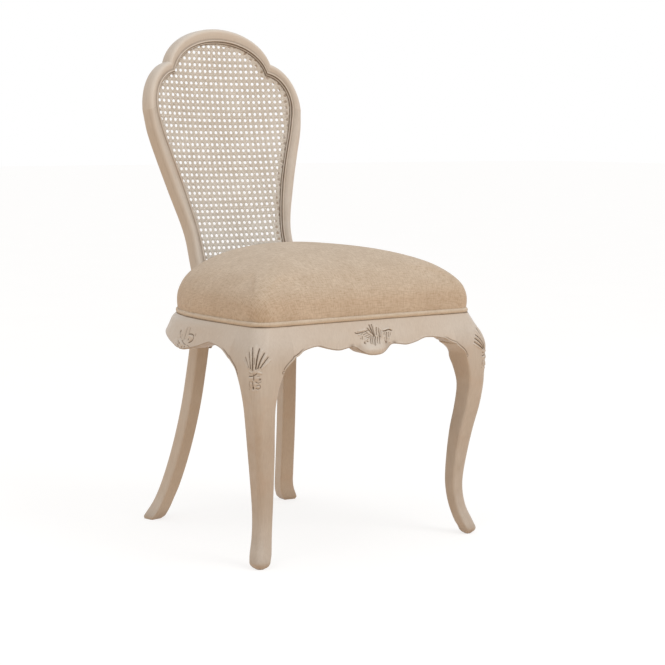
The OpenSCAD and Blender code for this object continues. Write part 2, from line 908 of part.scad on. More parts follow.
// Plan of the seat, smaller all round, and clear of the posts
module seat_plan(margin, free) {
    front = post_behind(rail_top) - post_t / 2 - free;
    difference() {
        polygon(inset(seat_loop, margin));
        for (s = [-1, 1]) scale([s, 1])
            polygon([
                turned(post_in - free, front),
                turned(post_out + free, front),
                turned(post_out + free, front + 100),
                turned(post_in - free, front + 100)
            ]);
    }
}

module seat_board() {
    color(BEECH) difference() {
        translate([0, 0, rail_top + cover_t])
            linear_extrude(board_t)
                seat_plan(draw_in + cover_t + gap, cover_t + 2 * gap);
        for (flip = [false, true]) mirrored(flip) seat_screw_pair(fit);
    }
}

module dust_cover() {
    color("#3a3a3a") difference() {
        translate([0, 0, rail_top + cover_t - dust_t])
            linear_extrude(dust_t)
                seat_plan(hem_w + draw_in + dust_gap, hem_w / 2 + dust_gap);
        for (flip = [false, true]) mirrored(flip) seat_screw_pair(fit);
    }
}

module seat_piping() {
    h = half_outline(6, 4, 18);
    n = len(h);
    // The cord ends at the post's outer face
    line = [for (k = [0:n - 4]) h[k]];
    // At the cord's height the cover is drawn in by this much
    tuck = draw_in * (1 - 0.75 * piping_d / full_h);
    path = [
        for (p = concat([for (k = [len(line) - 1:-1:1]) [-line[k][0], line[k][1]]], line))
        mix(dome_mid, p, 1 - tuck / half_w)
    ];
    m = len(path);
    z = rail_top + piping_d / 2;
    color(CORD) loft([
        for (k = [0:m - 1])
        let (
            t = path[min(m - 1, k + 1)] - path[max(0, k - 1)],
            out = unit([t[1], -t[0]])
        )
        [
            for (j = [0:5])
            let (a = 60 * j, p = path[k] + out * (piping_d / 2 * (1 + cos(a)) + gap))
            [p[0], p[1], z + piping_d / 2 * sin(a)]
        ]
    ]);
}

// Joinery

dowel_levels = [rail_top - dowel_drop, rail_top - dowel_drop - dowel_pitch];
post_dowel_levels = [rail_top - post_dowel_drop, rail_top - post_dowel_drop - post_dowel_pitch];

module dowel(at, dir, before, after, free) {
    v = [dir[0], dir[1], len(dir) > 2 ? dir[2] : 0];
    end = free > 0 ? 1 : 0;
    rod(at - unit(v) * (before + end), v, before + after + 2 * end, dowel_d + 2 * free);
}

module front_dowels(free) {
    for (z = dowel_levels)
        dowel([block_x, -seat_front + rail_t / 2, z], [1, 0, 0], dowel_grip, dowel_grip, free);
}

module side_dowels(free) {
    for (z = dowel_levels)
        dowel([half_w - rail_t / 2, block_y, z], [0, 1, 0], dowel_grip, dowel_grip, free);
}

joint_behind = end_behind - rail_end_t / 2;

module post_dowels(free) {
    at = turned(post_out, joint_behind);
    for (z = post_dowel_levels)
        dowel([at[0], at[1], z], across_dir, post_grip, dowel_grip - 2, free);
}

module rear_rail_dowels(free) {
    x = (post_in + rear_y * sin(post_turn)) / cos(post_turn);
    for (z = dowel_levels)
        dowel([x, rear_y, z], -across_dir, post_grip, dowel_grip, free);
}

module crest_dowel(free) {
    p = mix(crest_pairs[0][0], crest_pairs[0][1], 0.5);
    a = back_point(p[0], p[1], rebate - frame_t * 0.55);
    b = back_point(p[0], p[1] + 1, rebate - frame_t * 0.55);
    dowel(a, b - a, dowel_grip, dowel_grip - 2, free);
}

module lower_dowel(free) {
    p = back_point(post_in, -foot_v - lower_h * 0.45, rebate - frame_t * 0.55);
    x = (post_in + p[1] * sin(post_turn)) / cos(post_turn);
    dowel([x, p[1], p[2]], -across_dir, post_grip, dowel_grip, free);
}

module rail_dowels() {
    color(BEECH) for (flip = [false, true]) mirrored(flip) {
        front_dowels(0);
        side_dowels(0);
        post_dowels(0);
        rear_rail_dowels(0);
    }
}

module back_dowels() {
    color(BEECH) for (flip = [false, true]) mirrored(flip) {
        crest_dowel(0);
        lower_dowel(0);
    }
}

// Screw from its head's seat at a, along v
module screw(a, v, length) {
    d = unit(v);
    rod(a - d * head_h, d, length + head_h, screw_d);
    rod(a - d * head_h, d, head_h, head_d);
}
module screw_hole(a, v, length, free) {
    rod(a - unit(v) * eps, v, length + 1, screw_d + 2 * free);
}

rail_inner_y = -seat_front + rail_t;
front_screw_x = block_x - corner_reach * 0.55;
front_screw_y = block_y + corner_reach * 0.5;
screw_z = rail_top - corner_h / 2;
screw_wood = 12;
screw_bite = 15;

// Places of the two screws that hold a block to its rails: the seat of the head, and the direction
front_places = [
    [[front_screw_x, rail_inner_y + screw_wood, screw_z], [0, -1, 0]],
    [[half_w - rail_t - screw_wood, front_screw_y, screw_z], [1, 0, 0]]
];
rear_screw_s = 0.8;
rear_out = side_out(rear_screw_s);
rear_hold = side_inner(rear_screw_s) - rear_out * screw_wood;
rear_screw_x = 46;
rear_places = [
    [[rear_screw_x, rear_y - rear_rail_t / 2 - screw_wood, screw_z], [0, 1, 0]],
    [[rear_hold[0], rear_hold[1], screw_z], [rear_out[0], rear_out[1], 0]]
];

module front_block_screws(free) {
    for (p = front_places)
        if (free > 0) screw_hole(p[0], p[1], screw_wood + screw_bite, free);
        else screw(p[0], p[1], screw_wood + screw_bite);
}

module rear_block_screws(free) {
    for (p = rear_places)
        if (free > 0) screw_hole(p[0], p[1], screw_wood + screw_bite, free);
        else screw(p[0], p[1], screw_wood + screw_bite);
}

module block_screws() {
    color(STEEL) for (flip = [false, true]) mirrored(flip) {
        front_block_screws(0);
        rear_block_screws(0);
    }
}

front_seat_screw = [block_x - 10, block_y + 10];
rear_seat_screw = turned(post_x - 5, post_behind(rail_top) - post_t / 2 - hem_w / 2 - head_d / 2);
seat_screw_length = corner_h + cover_t + board_t - head_h;

module seat_screw_pair(free) {
    for (p = [front_seat_screw, rear_seat_screw]) {
        at = [p[0], p[1], rail_top - corner_h];
        if (free > 0) screw_hole(at, [0, 0, 1], seat_screw_length, free);
        else screw(at, [0, 0, 1], seat_screw_length);
    }
}

module seat_screws() {
    color(STEEL) for (flip = [false, true]) mirrored(flip) seat_screw_pair(0);
}

module counterbores(places) {
    for (p = places) rod(p[0] - p[1] * 40, p[1], 40, head_d + 2);
}

module corner_block(plan, places) {
    color(BEECH) difference() {
        translate([0, 0, rail_top - corner_h]) linear_extrude(corner_h) polygon(plan);
        for (p = places) screw_hole(p[0] - p[1], p[1], screw_wood + 3, fit);
        counterbores(places);
        seat_screw_pair(fit);
    }
}

module corner_block_front(flip) {
    far = 0.22;
    mirrored(flip) corner_block(
        concat(
            [[block_x - corner_reach, rail_inner_y], [block_x - gap, rail_inner_y]],
            [[block_x - gap, block_y + gap], side_inner(0, gap) + [0, gap]],
            [for (s = [far / 2, far]) side_inner(s, gap)]
        ),
        front_places
    );
}

module corner_block_rear(flip) {
    front_y = rear_y - rear_rail_t / 2;
    nose = post_behind(rail_top) - post_t / 2 - gap;
    across = post_in - gap;
    mirrored(flip) corner_block(
        concat(
            [[rear_screw_x - 22, front_y]],
            [[(across + front_y * sin(post_turn)) / cos(post_turn), front_y]],
            [turned(across, nose), turned(post_out - 3, nose)],
            [for (s = [0.94, 0.88, 0.8, 0.72]) side_inner(s, gap)]
        ),
        rear_places
    );
}

front_leg(true);  // front_leg_left
front_leg(false);  // front_leg_right
rear_post(true);  // rear_post_left
rear_post(false);  // rear_post_right
crest_rail();
back_lower_rail();
front_rail();
side_rail(true);  // side_rail_left
side_rail(false);  // side_rail_right
rear_rail();
corner_block_front(true);  // corner_block_front_left
corner_block_front(false);  // corner_block_front_right
corner_block_rear(true);  // corner_block_rear_left
corner_block_rear(false);  // corner_block_rear_right
rail_dowels();
back_dowels();
block_screws();
seat_screws();
cane_panel();
cane_spline();
seat_board();
seat_foam();
seat_cover();
seat_piping();
dust_cover();
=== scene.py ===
import json
import math

import bmesh
import bpy
import numpy as np
from mathutils import Matrix, Vector

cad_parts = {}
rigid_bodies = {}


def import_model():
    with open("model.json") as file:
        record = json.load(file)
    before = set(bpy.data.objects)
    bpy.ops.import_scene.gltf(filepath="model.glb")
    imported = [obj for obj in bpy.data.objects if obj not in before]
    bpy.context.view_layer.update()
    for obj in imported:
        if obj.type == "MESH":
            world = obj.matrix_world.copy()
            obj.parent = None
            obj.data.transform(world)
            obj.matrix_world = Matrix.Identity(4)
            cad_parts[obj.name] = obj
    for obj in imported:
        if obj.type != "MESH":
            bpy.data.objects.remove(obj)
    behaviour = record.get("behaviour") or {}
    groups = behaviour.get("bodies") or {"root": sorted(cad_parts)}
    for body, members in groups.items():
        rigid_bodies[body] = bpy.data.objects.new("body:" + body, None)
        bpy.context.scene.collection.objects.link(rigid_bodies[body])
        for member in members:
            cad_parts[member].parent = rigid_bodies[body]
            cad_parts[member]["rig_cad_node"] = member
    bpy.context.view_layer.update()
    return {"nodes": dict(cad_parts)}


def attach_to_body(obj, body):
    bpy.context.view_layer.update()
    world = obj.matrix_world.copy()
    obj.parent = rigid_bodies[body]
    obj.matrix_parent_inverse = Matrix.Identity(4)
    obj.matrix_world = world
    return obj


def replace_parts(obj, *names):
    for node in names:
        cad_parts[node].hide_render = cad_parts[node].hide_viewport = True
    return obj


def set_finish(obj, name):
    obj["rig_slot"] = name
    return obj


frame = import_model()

MM = 0.001

# Sizes of the chair in millimetres, as in the CAD
HALF_W, SEAT_FRONT, CORNER_R, FRONT_HOLLOW = 253.0, 250.0, 27.0, 2.5
RT, RAIL_T, RAIL_END_T, BLOCK = 431.5, 22.0, 17.0, 62.0
BLOCK_X, BLOCK_Y, BLOCK_LOW = HALF_W - BLOCK, -(SEAT_FRONT - BLOCK), RT - 55
KNEE_OUT, ANKLE_IN, TOE_OUT, ANKLE_W = 24.2, 8.0, 10.5, 29.0
SHIN_R, TOE_ROUND, LOBE, WAVE = 11.0, 13.0, 62.5, 45.5
TURN = math.radians(8)
POST_W, POST_T, POST_X = 30.2, 29.5, 87.5
REAR_RAIL_T, REAR_RAIL_LOW, REAR_RAIL_RISE = 21.0, 349.0, 28.0
RAKE, BACK_R, SWEEP_R = math.radians(11.7), 840.0, 1655.0
CANE_Y, CANE_Z, FOOT_V = 223.0, 764.0, 262.0
SHOULDER_W, SHOULDER_V, WAIST_W, CROWN_V = 164.8, 60.0, 101.0, 193.0
NOTCH, OUTER_NOTCH, SHOULDER_U, OUTER_LOWER = (113.8, 129.4), (124.4, 149.7), 103.3, 8.4
STILE_W, SIDE_FACE, CROWN_FACE, FRAME_T = 22.4, 21.7, 26.3, 28.0
REBATE, LEDGE, CANE_T, CANE_PITCH = 5.7, 4.0, 1.6, 12.4
LOWER_H, SPLINE_W, SPLINE_H, FIT = 34.0, 3.0, 3.0, 0.2
DOME_H, CROWN_H, FULL_H, DRAW_IN, PIPING_D = 100.0, 28.6, 25.0, 5.0, 7.0

# Sizes that follow the photograph where the solids are plainer: the painted top edge of the rails stands
# proud, the legs' inner corner and the side rails are rounder, and the piping is taller than wide
LIP, INNER_ROUND, SIDE_SWELL, PIPE_TALL = 1.6, 38.0, 4.5, 1.25
BOSS_H, BOSS_TOP, GOUGE_W, CUSHION_OUT = 9.5, 398.0, 0.88, 1.2


def mix(a, b, t):
    return a + (b - a) * t


def ease(t):
    c = np.clip(t, 0, 1)
    return c * c * (3 - 2 * c)


def bell(x, middle, width):
    return np.exp(-((x - middle) / width)**2)


def unit(v):
    return v / np.linalg.norm(v, axis=-1, keepdims=True)


def right_of(way):
    """Unit vectors in plan to the right of each way."""
    return unit(np.stack([way[..., 1], -way[..., 0]], -1))


def lengths(path):
    """Distance along a path at each of its points."""
    return np.concatenate([[0], np.cumsum(np.linalg.norm(np.diff(path, axis=0), axis=1))])


def at_height(plan, z):
    return np.concatenate([plan, np.broadcast_to(np.reshape(z, (-1, 1)), (len(plan), 1))], 1)


def curve(rows, x, col=1):
    """Value at x of the smooth curve through the rows of a table, as in the CAD."""
    rows = np.asarray(rows, float)
    xs, ys = rows[:, 0], rows[:, col]
    slope = np.empty(len(xs))
    slope[1:-1] = (ys[2:] - ys[:-2]) / (xs[2:] - xs[:-2])
    slope[0] = (ys[1] - ys[0]) / (xs[1] - xs[0])
    slope[-1] = (ys[-1] - ys[-2]) / (xs[-1] - xs[-2])
    x = np.clip(np.asarray(x, float), xs[0], xs[-1])
    i = np.clip(np.searchsorted(xs, x, "right") - 1, 0, len(xs) - 2)
    h = xs[i + 1] - xs[i]
    k = (x - xs[i]) / h
    return ((2 * k**3 - 3 * k**2 + 1) * ys[i] + (k**3 - 2 * k**2 + k) * h * slope[i]
            + (3 * k**2 - 2 * k**3) * ys[i + 1] + (k**3 - k**2) * h * slope[i + 1])


def wobble(p, size, seed):
    """Smooth repeatable unevenness from -1 to 1 over points in millimetres."""
    p = p / size
    total = np.zeros(p.shape[:-1])
    waves = [(1, 0.7, 0.3), (-0.6, 1.1, 0.5), (0.4, -0.8, 1.2), (1.7, 1.3, -0.9), (-1.9, 0.8, 1.5)]
    for k, (a, b, c) in enumerate(waves):
        total += np.sin(a * p[..., 0] + b * p[..., 1] + c * p[..., 2] + seed + 1.7 * k) / (1 + 0.4 * k)
    return total / 3


# Meshes from rings of points
def linked(name, data):
    obj = bpy.data.objects.new(name, data)
    bpy.context.scene.collection.objects.link(obj)
    return obj


def solid(name, verts, faces):
    """An object from vertices in millimetres, not yet a piece."""
    mesh = bpy.data.meshes.new(name)
    mesh.from_pydata((np.asarray(verts) * MM).tolist(), [], faces)
    return linked(name, mesh)


def skin(rings, caps=True):
    """Faces through rings of equal count, counterclockwise as seen from the last one."""
    m, n = rings.shape[:2]
    i, j = np.meshgrid(np.arange(m - 1), np.arange(n), indexing="ij")
    a, b = i * n + j, i * n + (j + 1) % n
    faces = np.stack([a, b, b + n, a + n], -1).reshape(-1, 4).tolist()
    return faces + [list(range(n))[::-1], list(range((m - 1) * n, m * n))] if caps else faces


def attach(mesh, name, values):
    """A number or a vector for each point, for the materials."""
    kind, field = ("FLOAT", "value") if values.size == len(mesh.vertices) else ("FLOAT_VECTOR", "vector")
    mesh.attributes.new(name, kind, "POINT").data.foreach_set(field, values.ravel())


def from_faces(name, verts, faces, slot, glaze=None, cloth=None, angle=42):
    obj = solid(name, verts, faces)
    mesh = obj.data
    mesh.polygons.foreach_set("use_smooth", [True] * len(mesh.polygons))
    mesh.set_sharp_from_angle(angle=math.radians(angle))
    # The glaze attribute carries brown glaze, painted shade and painted highlights for the materials
    if glaze is not None:
        attach(mesh, "glaze", np.clip(glaze, -1, 1))
    if cloth is not None:
        attach(mesh, "cloth", cloth * MM)
    mesh.update()
    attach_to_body(obj, "root")
    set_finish(obj, slot)
    return obj


def piece(name, rings, slot, caps=True, **more):
    rings = np.asarray(rings, float)
    return from_faces(name, rings.reshape(-1, 3), skin(rings, caps), slot, **more)


def both_sides(node, form, rings, glaze, angle=42, sides=("right", "left")):
    """Painted pieces from the rings of the right one; they stand for the CAD's nodes."""
    for side in sides:
        flip = side == "left"
        obj = piece(f"{node}_{side}_{form}", rings[:, ::-1] * [-1, 1, 1] if flip else rings, "paint",
                    glaze=glaze[:, ::-1] if flip else glaze, angle=angle)
        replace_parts(obj, f"{node}_{side}")


# Plan of the seat
def turned(across, behind):
    c, s = math.cos(TURN), math.sin(TURN)
    return np.stack([across * c + behind * s, behind * c - across * s], -1)


POST = [
    [0, POST_X + 47, 258], [30, POST_X + 33, 246.5], [75, POST_X + 23.8, 228.5],
    [150, POST_X + 14.3, 205.7], [RT - 198, POST_X + 6.3, 187], [RT - 118, POST_X + 0.9, 174.6],
    [RT - 83, POST_X, 168.8], [RT - 48, POST_X, 162.2], [RT - 8, POST_X, 156.4],
    [RT + 32, POST_X, 155.2], [RT + 72, POST_X, 162.1],
]
POST_OUT, POST_IN = POST_X + POST_W / 2, POST_X - POST_W / 2
RAIL_END = turned(POST_OUT, float(curve(POST, RT - 28, 2)) + 2.5)
SIDE_PTS = np.array([[HALF_W, BLOCK_Y], [HALF_W, BLOCK_Y + 120], RAIL_END + [129, -36], RAIL_END])
REAR_Y = float(turned(POST_IN, float(curve(POST, RT - 28, 2)))[1]) + 2


def post_face_x(y):
    """Where the turned post's inner face lies at y."""
    return (POST_IN + y * math.sin(TURN)) / math.cos(TURN)


def side_line(s):
    s = np.asarray(s, float)[..., None]
    a, b, c, d = SIDE_PTS
    return a * (1 - s)**3 + b * 3 * s * (1 - s)**2 + c * 3 * s**2 * (1 - s) + d * s**3


def side_out(s):
    s = np.asarray(s, float)[..., None]
    a, b, c, d = SIDE_PTS
    t = (b - a) * (1 - s)**2 + (c - b) * 2 * s * (1 - s) + (d - c) * s**2
    return unit(mix(right_of(t), turned(0.0, 1.0), ease((s - 0.8) / 0.2)))


SIDE_S = np.linspace(0, 1, 1001)
SIDE_LEN = lengths(side_line(SIDE_S))


def front_line(x):
    return -SEAT_FRONT + FRONT_HOLLOW * np.maximum(0, 1 - (x / BLOCK_X)**2)


def seat_half(n_front, n_corner, n_side):
    """Right half of the seat's outline, from the middle of the front to the middle of the rear."""
    x = np.linspace(0, HALF_W - CORNER_R, n_front + 1)
    a = np.radians(np.linspace(0, 90, n_corner + 1)[1:])
    rear = REAR_Y + REAR_RAIL_T / 2
    return np.concatenate([
        np.stack([x, front_line(x)], -1),
        np.stack([HALF_W - CORNER_R * (1 - np.sin(a)), -SEAT_FRONT + CORNER_R * (1 - np.cos(a))], -1),
        side_line(np.linspace(0, 1, n_side + 1)),
        [[RAIL_END[0] * 0.6, mix(RAIL_END[1], rear, 0.8)], [0, rear]]])


def both_halves(h):
    return np.concatenate([h, h[-2:0:-1] * [-1, 1]])


def inset(loop, amount):
    return loop - right_of(np.roll(loop, -1, 0) - np.roll(loop, 1, 0)) * amount


# Front legs and rails, by height
SWELL = [
    [0, TOE_OUT + 1], [12, TOE_OUT], [24, TOE_OUT - 4], [52, -ANKLE_IN * 0.4], [82, -ANKLE_IN],
    [112, -ANKLE_IN], [RT - 268, -2], [RT - 223, 5], [RT - 178, KNEE_OUT * 0.56],
    [RT - 138, KNEE_OUT * 0.83], [RT - 108, KNEE_OUT * 0.95], [RT - 76, KNEE_OUT],
    [RT - 57, KNEE_OUT * 0.97], [RT - 37, KNEE_OUT * 0.75], [RT - 18, KNEE_OUT * 0.39], [RT, 1.2],
]
INNER = [
    [0, ANKLE_W + 1 - TOE_OUT], [12, ANKLE_W + 1 - TOE_OUT], [24, ANKLE_W + 6 - TOE_OUT],
    [52, ANKLE_W + ANKLE_IN * 0.4], [82, ANKLE_W + ANKLE_IN], [112, ANKLE_W + ANKLE_IN + 1.5],
    [RT - 268, ANKLE_W + 7.4], [RT - 223, ANKLE_W + 3.7], [RT - 178, ANKLE_W - 2.2],
    [RT - 138, ANKLE_W - 5], [RT - 108, ANKLE_W - 0.5], [RT - 83, ANKLE_W + 7],
    [RT - 70, ANKLE_W + 14], [BLOCK_LOW, BLOCK],
]
FRONT_EDGE = [[BLOCK_X * share, RT - drop] for share, drop in [
    (0, LOBE), (0.07, LOBE - 1.1), (0.126, LOBE - 4.3), (0.173, LOBE - 9.5), (0.215, WAVE + 1.8),
    (0.25, WAVE), (0.314, WAVE + 1), (0.419, WAVE + 3.5), (0.545, WAVE - 0.5), (0.67, WAVE - 7),
    (0.869, WAVE - 2.5), (0.937, WAVE + 4), (1, WAVE + 8.5)]]
SIDE_EDGE = [[s, RT - drop] for s, drop in [
    (0, 57), (0.06, 45), (0.1, 39.8), (0.143, 36.8), (0.184, 35), (0.205, 37.2), (0.227, 40),
    (0.261, 44.5), (0.296, 48.4), (0.332, 51.9), (0.37, 54.8), (0.4, 54.6), (0.428, 53), (0.462, 51),
    (0.5, 48.2), (0.549, 44.6), (0.6, 40.5), (0.75, 33.6), (1, 33)]]


def swell(z):
    return curve(SWELL, z)


def leg_inner(z):
    return np.where(z >= BLOCK_LOW, BLOCK, np.minimum(BLOCK, curve(INNER, z)))


def front_share(x):
    """How much of the knee's swell the front rail has."""
    return mix(0.5, 1, ease((np.abs(x) - BLOCK_X * 0.55) / (BLOCK_X * 0.45)))


def side_share(s):
    return mix(mix(1, 1.25, ease((s - 0.25) / 0.35)), 0.28, ease((s - 0.78) / 0.22))


def side_round(s, z):
    """Extra roundness of the side rails' upper edge, away from the legs."""
    h = np.maximum(0, RT + LIP - z) / 10
    return SIDE_SWELL * h * np.exp(1 - h) * ease(s / 0.35) * (1 - ease((s - 0.72) / 0.26))


# Carving: every height is in millimetres above the plain surface, over flat coordinates of the face.
# Across is x on the front rail, the distance round the corner on a leg, positive to the front, and the
# distance from the leg on a side rail; up is z. A cut or a rib has its depth or height, its half width at
# both ends, and the points of its line across and up in turn
FRONT_CUTS = [
    (1.7, 0.8, 0.9, -10.1, 418.2, -4.4, 411.1, -0.1, 406.3),
    (2.2, 0.9, 1.1, -5, 423.9, -1.7, 413.8, 1.6, 403.4),
    (2.3, 0.9, 1.1, 1.1, 424, 1.9, 413.6, 3.4, 403.3), (1.8, 0.8, 0.9, 10.7, 418, 8.5, 405.2),
    (2.1, 0.9, 1, 15.1, 416.7, 15.2, 409.3, 14.5, 401.4), (1.8, 0.8, 0.9, 21, 412.9, 17.8, 401.2),
    (1.2, 0.7, 0.7, -15.2, 412.4, -8, 406.5, -3, 403.4), (1.8, 0.9, 0.7, -4.7, 402.6, -8.3, 390.6),
    (2, 1, 0.8, -0.1, 402.3, -4.6, 390.2), (2.4, 1.1, 0.9, 5.2, 401.4, -0.6, 386.9),
    (1.7, 0.9, 0.7, 10.6, 400.5, 6.7, 390.8), (2, 1, 0.8, 16.5, 401.3, 11.7, 389.3),
    (1.8, 0.8, 0.8, -39.5, 411.7, -34.2, 409.8, -25.4, 411.1, -17.1, 411.8, -10.3, 414.1),
    (1.7, 0.9, 0.8, -23.9, 403.8, -24.4, 398.7), (1.4, 0.7, 0.7, -20.7, 406.8, -11.7, 409.9),
    (1.3, 0.7, 0.7, -18.4, 403.4, -6.5, 407.1), (1.3, 0.7, 0.7, -14.6, 400.7, -7.2, 402.8),
    (1.2, 0.7, 0.7, -27, 407.5, -22, 409),
    (2.1, 0.9, 1.1, 25.8, 410.6, 33.3, 411.5, 40, 412.8, 47.1, 410.6),
    (2, 1, 0.9, 33.8, 408.1, 31.5, 395.1), (1.8, 0.9, 0.8, 38.8, 407.7, 38.3, 399.7),
    (1.5, 0.8, 0.8, 28.6, 407.8, 27.6, 403.7), (1.3, 0.7, 0.7, 43.5, 406.5, 42.8, 402.5),
    (1.2, 0.7, 0.7, 27, 399, 26.2, 393),
]
FRONT_RIBS = [
    (1.1, 1.3, 1.6, -7.8, 419.5, -3, 411, 0.6, 404), (1.2, 1.3, 1.2, -2, 425, 0.2, 413.7, 2.5, 403),
    (1.2, 2.2, 1.7, 6, 422, 5.3, 411, 5.6, 402.5), (1.2, 1.7, 1.6, 13, 419.5, 12.2, 409, 11.5, 402),
    (1.1, 1.6, 1.2, 18.2, 416, 17.6, 408, 16.4, 401.5), (1, 1.4, 1.3, 24, 409.5, 20.8, 401),
    (1.1, 1.5, 1.2, -2.4, 402, -6.5, 391), (1.1, 1.5, 1.2, 2.5, 402, -2.6, 389),
    (1.2, 1.7, 1.5, 7.9, 401, 3, 389.5), (1.1, 1.6, 1.4, 13.5, 401, 9.2, 390),
    (1.5, 1.3, 1.6, -33.4, 413.9, -24.5, 415, -16.3, 415.9), (1.1, 1.1, 1.4, -33, 406.8, -26, 408.8),
    (1.6, 1.3, 1.3, -19.3, 396.5, -15.5, 399.1, -10.9, 397.9, -13, 395),
    (1.5, 1.5, 1.5, 26.4, 413.1, 34.7, 413.9, 40.3, 415), (1.7, 2, 2.2, 40, 397.3, 38.8, 390.6),
    (1.3, 1.4, 1.3, 36.3, 407, 35.4, 397),
]
FRONT_DOTS = [
    (-20.6, 392.3, 1.6, 1.8), (-14.3, 394.6, 1.1, 1.3), (-9.8, 400.2, 1.1, 1.3), (30.2, 391, 2.6, 1.7),
    (-28.5, 400.5, 1.1, 1),
]
LEFT_CUTS = [
    (2.1, 0.9, 0.9, -27.4, 382.5, -22, 376, -15.7, 366),
    (2.3, 0.95, 0.95, -17.2, 391.5, -14.2, 379.6, -11.9, 364.4),
    (2.5, 0.85, 1, -10.7, 399.8, -8.9, 381.8, -8.1, 361.3),
]
LEFT_RIBS = [
    (1.1, 2.2, 1.2, -22.5, 388, -18.5, 378, -13.8, 364.5),
    (1.1, 2.4, 1.2, -14, 397.5, -11.8, 381, -9.9, 363),
    (1.1, 1.9, 1.4, -32.5, 376.5, -25.5, 371.5, -18, 364.5),
]
# The shell turns the same way on both legs; the right one is cut a little wider, with one flute more
RIGHT_CUTS = [
    (2.5, 0.9, 1, -11.5, 403, -11.2, 390, -8.1, 362), (2.3, 1, 1, -24, 391, -16.5, 382, -10.2, 366),
    (2.1, 1, 0.9, -29, 384.5, -21, 377, -12, 365),
    (1.9, 0.9, 0.9, -33.6, 378, -22.4, 370.2, -13.5, 363.5),
]
RIGHT_RIBS = [
    (1.2, 2.4, 1.2, -17.5, 399, -13.5, 386, -9.3, 368),
    (1.2, 1.5, 1.2, -26.8, 388, -18.5, 379.5, -11.2, 366),
    (1.2, 1.4, 1.1, -31.5, 381.5, -21.8, 373.6, -13, 364.3),
    (1.1, 1.7, 1.3, -36, 374, -26, 368.5, -17, 363),
]
KNEE_CUTS = [
    (2.6, 1, 1, 2.5, 398.1, -0.1, 386.8, -2.4, 363.9), (2.4, 1, 1, 11.7, 390.9, 5.9, 379.4, 1.2, 365),
    (2.2, 1, 0.9, 19.5, 383.5, 12.5, 375.4, 5.4, 365.9), (1.1, 0.7, 0.7, -4.8, 383, -4.9, 372),
    (1.9, 0.8, 0.9, -15.3, 350.3, -7, 351.5, -0.6, 355.7), (1.6, 0.9, 0.8, -6.4, 354, -5.9, 344.2),
    (1.5, 0.7, 1, -8.6, 341.5, -7.6, 335, -7, 328.3),
    (1.4, 0.7, 0.8, -0.6, 334.6, 3.9, 335.6, 5.7, 331.6, 2, 328.6, -2, 329.5),
    (1.2, 0.7, 0.7, -2.5, 341.2, 2.1, 339.2, 6.7, 341.4),
    (1.2, 0.7, 0.7, -13.4, 341.5, -15.2, 336.6, -13.6, 330.5), (1, 0.6, 0.6, 0.4, 351.2, 5.6, 351.6),
]
KNEE_RIBS = [
    (1.1, 3.6, 1.6, -4.3, 401.5, -4.6, 383, -5.2, 363),
    (1.1, 2.6, 1.2, 7.4, 396, 3.2, 384, -0.6, 364.5),
    (1.1, 2.2, 1.2, 16.2, 388.5, 9.4, 378, 3.4, 365.5), (1.1, 1.9, 1.4, 24, 378.5, 16, 372, 8, 365),
    (1.5, 2, 1.6, 2.6, 358.2, 7.7, 356), (1.3, 1.5, 1.4, -15.2, 347.3, -7.4, 347.8),
    (1.3, 1.8, 1.5, -14, 359.4, -10, 356.6),
]
KNEE_LUMPS = [
    (1.5, 347.6, 3.4, 3.4, 1.2), (-11, 344.6, 2.6, 2.6, 1), (-2.6, 346.4, 2.2, 2.2, 0.9),
    (-11.5, 337, 2.6, 2.6, 1.1), (1.6, 332.3, 2.4, 2.4, 1.2), (-3.6, 336.8, 2.4, 2.4, 1),
    (-8, 324.8, 2.4, 2.4, 0.8), (-4.8, 359.4, 3.4, 3.4, 1.2), (-0.4, 325.6, 1.8, 1.8, 0.7),
]
KNEE_DOTS = [
    (5, 345.6, 1.9, 1.7), (-7, 330.3, 1.5, 1.4), (-13.2, 356.4, 1.2, 1.1), (-1.6, 341, 1, 0.9),
    (-15.6, 327.5, 1, 0.8),
]
SIDE_CUTS = [
    (1.6, 1, 0.9, 176.3, 403.9, 173.5, 400.5), (1.6, 1, 0.9, 171.2, 398.1, 169.4, 396),
    (1.8, 0.8, 1, 154.4, 416.1, 154.8, 409.7, 154, 400.7, 152.7, 393.5),
    (1.3, 0.8, 0.8, 144.5, 415.7, 143.9, 409.9, 143.3, 404.4), (1, 0.7, 0.7, 166, 402, 163.5, 394),
    (1.9, 0.9, 1, 142.1, 405, 133.9, 405.8, 126.2, 403.3, 124.8, 398, 128.1, 393.2, 134.3, 390.3),
    (1.3, 0.8, 0.8, 121.1, 407.8, 121.1, 403.3), (1.4, 1, 0.9, 174.3, 391.3, 164.1, 385),
    (1.5, 0.9, 0.9, 158, 392.1, 149, 388, 140.9, 385.7), (1.2, 0.8, 0.8, 172, 384.5, 163, 380.5),
    (1.1, 0.8, 0.8, 136, 386, 129, 383.5),
]
SIDE_RIBS = [
    (1.3, 2, 1.7, 150.5, 417, 149.8, 408, 148.6, 398), (1.2, 1.7, 1.5, 159, 415, 159.4, 404, 158, 394),
    (1.3, 1.6, 1.4, 138.5, 401.5, 132.5, 402, 129.3, 398.5, 131.5, 395.2),
    (1.2, 1.8, 1.6, 171, 393, 160, 389, 150, 384), (1.1, 1.8, 1.5, 182, 402, 178.5, 396),
]
SIDE_DOTS = [
    (177.9, 406.8, 2.3, 2), (139.2, 395.8, 1.5, 1.5), (164.1, 387.2, 1.5, 1.4),
    (142.9, 382.4, 1.5, 1.3), (152.5, 381, 1.3, 1.1),
]
